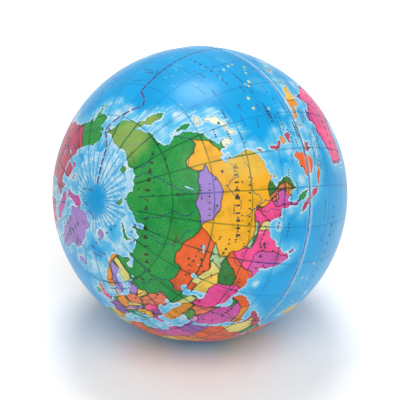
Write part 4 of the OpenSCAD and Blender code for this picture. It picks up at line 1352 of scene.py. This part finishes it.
def in_place(sizes):
    """Inputs that every tree takes to turn its piece and lay it on the floor."""
    _, height = ball_size()
    return {"Lean": LEAN, "Heading": HEADING, "Height": height, "Turn": math.pi - sizes.top_longitude,
            "Seed": sizes.seed}


def squash_anchor():
    """Share of width that is left at full squeeze, and the point that the lower half flattens towards.

    The point lies as far below the middle, along the pole axis, as keeps the flattened ball on the floor."""
    radius, height = ball_size()
    keep = 1 - SQUEEZE["range_m"][1] / (2 * radius)
    lowest = math.hypot(POLE.z * keep * radius, math.sqrt(1 - POLE.z ** 2) * radius)
    shift = (height - lowest) / ((1 - keep) * POLE.z)
    return keep, Vector((0, 0, height)) - POLE * shift


class STRESSBALL_OT_foam(bpy.types.Operator):
    """Mould the foam body inside the printed films"""

    bl_idname = "stressball.foam"
    bl_label = "Foam body"

    def execute(self, context):
        sizes, inks = context.scene.ball_sizes, context.scene.ball_inks
        radius, _ = ball_size()
        skin = sizes.film_thickness + sizes.bond_gap
        shape = {
            "Radius": radius - skin, "Bead Radius": radius - sizes.groove_depth,
            "Bead Width": sizes.seam_gap - 2 * sizes.bond_gap, "Waviness": .02 * MM, "Floor": skin,
            "Columns": 240, "Rows": 141, **in_place(sizes),
        }
        colours = {name: (*ink, 1) for name, ink in inks.table().items()}
        material = foam_material(radius / MM, colours)
        foam = grown("foam_body", bpy.data.meshes.new("foam"), foam_tree(), shape, material)
        keep, anchor = squash_anchor()
        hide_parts("foam_core")
        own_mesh(foam)
        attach(foam, ROOT_BODY)
        return {"FINISHED"}


class STRESSBALL_OT_films(bpy.types.Operator):
    """Print the two half films and wrap them over the foam"""

    bl_idname = "stressball.films"
    bl_label = "Printed half films"

    def execute(self, context):
        sizes, inks = context.scene.ball_sizes, context.scene.ball_inks
        radius, _ = ball_size()
        keep, anchor = squash_anchor()
        shape = {
            "Radius": radius, "Film Thickness": sizes.film_thickness, "Rim Width": sizes.rim_width,
            "Rim Rise": sizes.rim_rise, "Seam Gap": sizes.seam_gap, "Unevenness": sizes.unevenness,
            **in_place(sizes),
        }
        table = inks.table()
        colours = {name: (*ink, 1) for name, ink in table.items()}
        rings = printed_rings(radius / MM, sizes.seed)
        for side, node, slot, body in ((NORTH, "north_film", "north_print", MOVING_BODY),
                                       (SOUTH, "south_film", "south_print", ROOT_BODY)):
            name = node.replace("film", "map")
            blank = film_mesh(name, side, rings, radius / MM, sizes.seam_gap / MM, table)
            material = print_material(slot, side, radius / MM, colours)
            film = grown(name, blank, film_tree(), {"Side": float(side), **shape}, material)
            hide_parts(node)
            anchor + POLE * radius * (2 if side == NORTH else 0)
            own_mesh(film)
            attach(film, body)
        return {"FINISHED"}


def area_light(name, place, aim, size, power):
    """A round soft light that faces the ball."""
    lamp = bpy.data.lights.new(name, "AREA")
    lamp.shape, lamp.size, lamp.energy = "DISK", size, power
    light = bpy.data.objects.new(name, lamp)
    light.location = place
    light.rotation_euler = (Vector(aim) - Vector(place)).to_track_quat("-Z", "Y").to_euler()
    bpy.context.collection.objects.link(light)


class STRESSBALL_OT_stage(bpy.types.Operator):
    """Lay a white card, hang soft lights and set the camera"""

    bl_idname = "stressball.stage"
    bl_label = "Stage"

    def execute(self, context):
        radius, height = ball_size()
        middle = Vector((0, 0, height))
        card = bpy.data.meshes.new("card")
        corners = [(x * CARD_REACH, y * CARD_REACH, 0) for x, y in ((-1, -1), (1, -1), (1, 1), (-1, 1))]
        card.from_pydata(corners, [], [(0, 1, 2, 3)])
        card.materials.append(floor_material())
        floor = bpy.data.objects.new("card", card)
        context.collection.objects.link(floor)

        world = bpy.data.worlds.new("soft_room")
        world.use_nodes = True
        sky = world.node_tree.nodes["Background"]
        sky.inputs["Color"].default_value = (1, .99, .975, 1)
        sky.inputs["Strength"].default_value = .52
        context.scene.world = world
        area_light("overhead_softbox", middle + Vector((-.04, .4, .91)) * .9, middle, .36, 4.2)
        area_light("front_softbox", middle + Vector((.12, -.62, .76)) * 1.1, middle, .9, 7.2)

        lens = bpy.data.cameras.new("camera")
        lens.lens = LENS_MM
        camera = bpy.data.objects.new("camera", lens)
        level = math.cos(CAMERA_UP)
        look = Vector((math.sin(CAMERA_ROUND) * level, -math.cos(CAMERA_ROUND) * level, math.sin(CAMERA_UP)))
        target = middle - Vector((0, 0, AIM_BELOW_MIDDLE))
        camera.location = target + look * CAMERA_RADII * radius
        camera.rotation_euler = (-look).to_track_quat("-Z", "Y").to_euler()
        context.collection.objects.link(camera)
        context.scene.camera = camera
        context.scene.view_settings.view_transform = "Standard"
        return {"FINISHED"}


class STRESSBALL_PT_panel(bpy.types.Panel):
    """The ball's settings and its makers"""

    bl_label = "Globe Stress Ball"
    bl_space_type = "VIEW_3D"
    bl_region_type = "UI"
    bl_category = "Stress Ball"

    def draw(self, context):
        for settings in (context.scene.ball_sizes, context.scene.ball_inks):
            box = self.layout.box()
            for name in settings.__annotations__:
                box.prop(settings, name)
        for maker in MAKERS:
            self.layout.operator(maker.bl_idname)


MAKERS = (STRESSBALL_OT_foam, STRESSBALL_OT_films, STRESSBALL_OT_stage)
CLASSES = (BallInks, BallSizes) + MAKERS + (STRESSBALL_PT_panel,)


def register():
    for item in CLASSES:
        bpy.utils.register_class(item)
    bpy.types.Scene.ball_sizes = PointerProperty(type=BallSizes)
    bpy.types.Scene.ball_inks = PointerProperty(type=BallInks)


def unregister():
    del bpy.types.Scene.ball_inks
    del bpy.types.Scene.ball_sizes
    for item in reversed(CLASSES):
        bpy.utils.unregister_class(item)


def main():
    register()
    bpy.ops.stressball.foam()
    bpy.ops.stressball.films()
    bpy.ops.stressball.stage()
    bpy.context.view_layer.update()


if __name__ == "__main__":
    main()
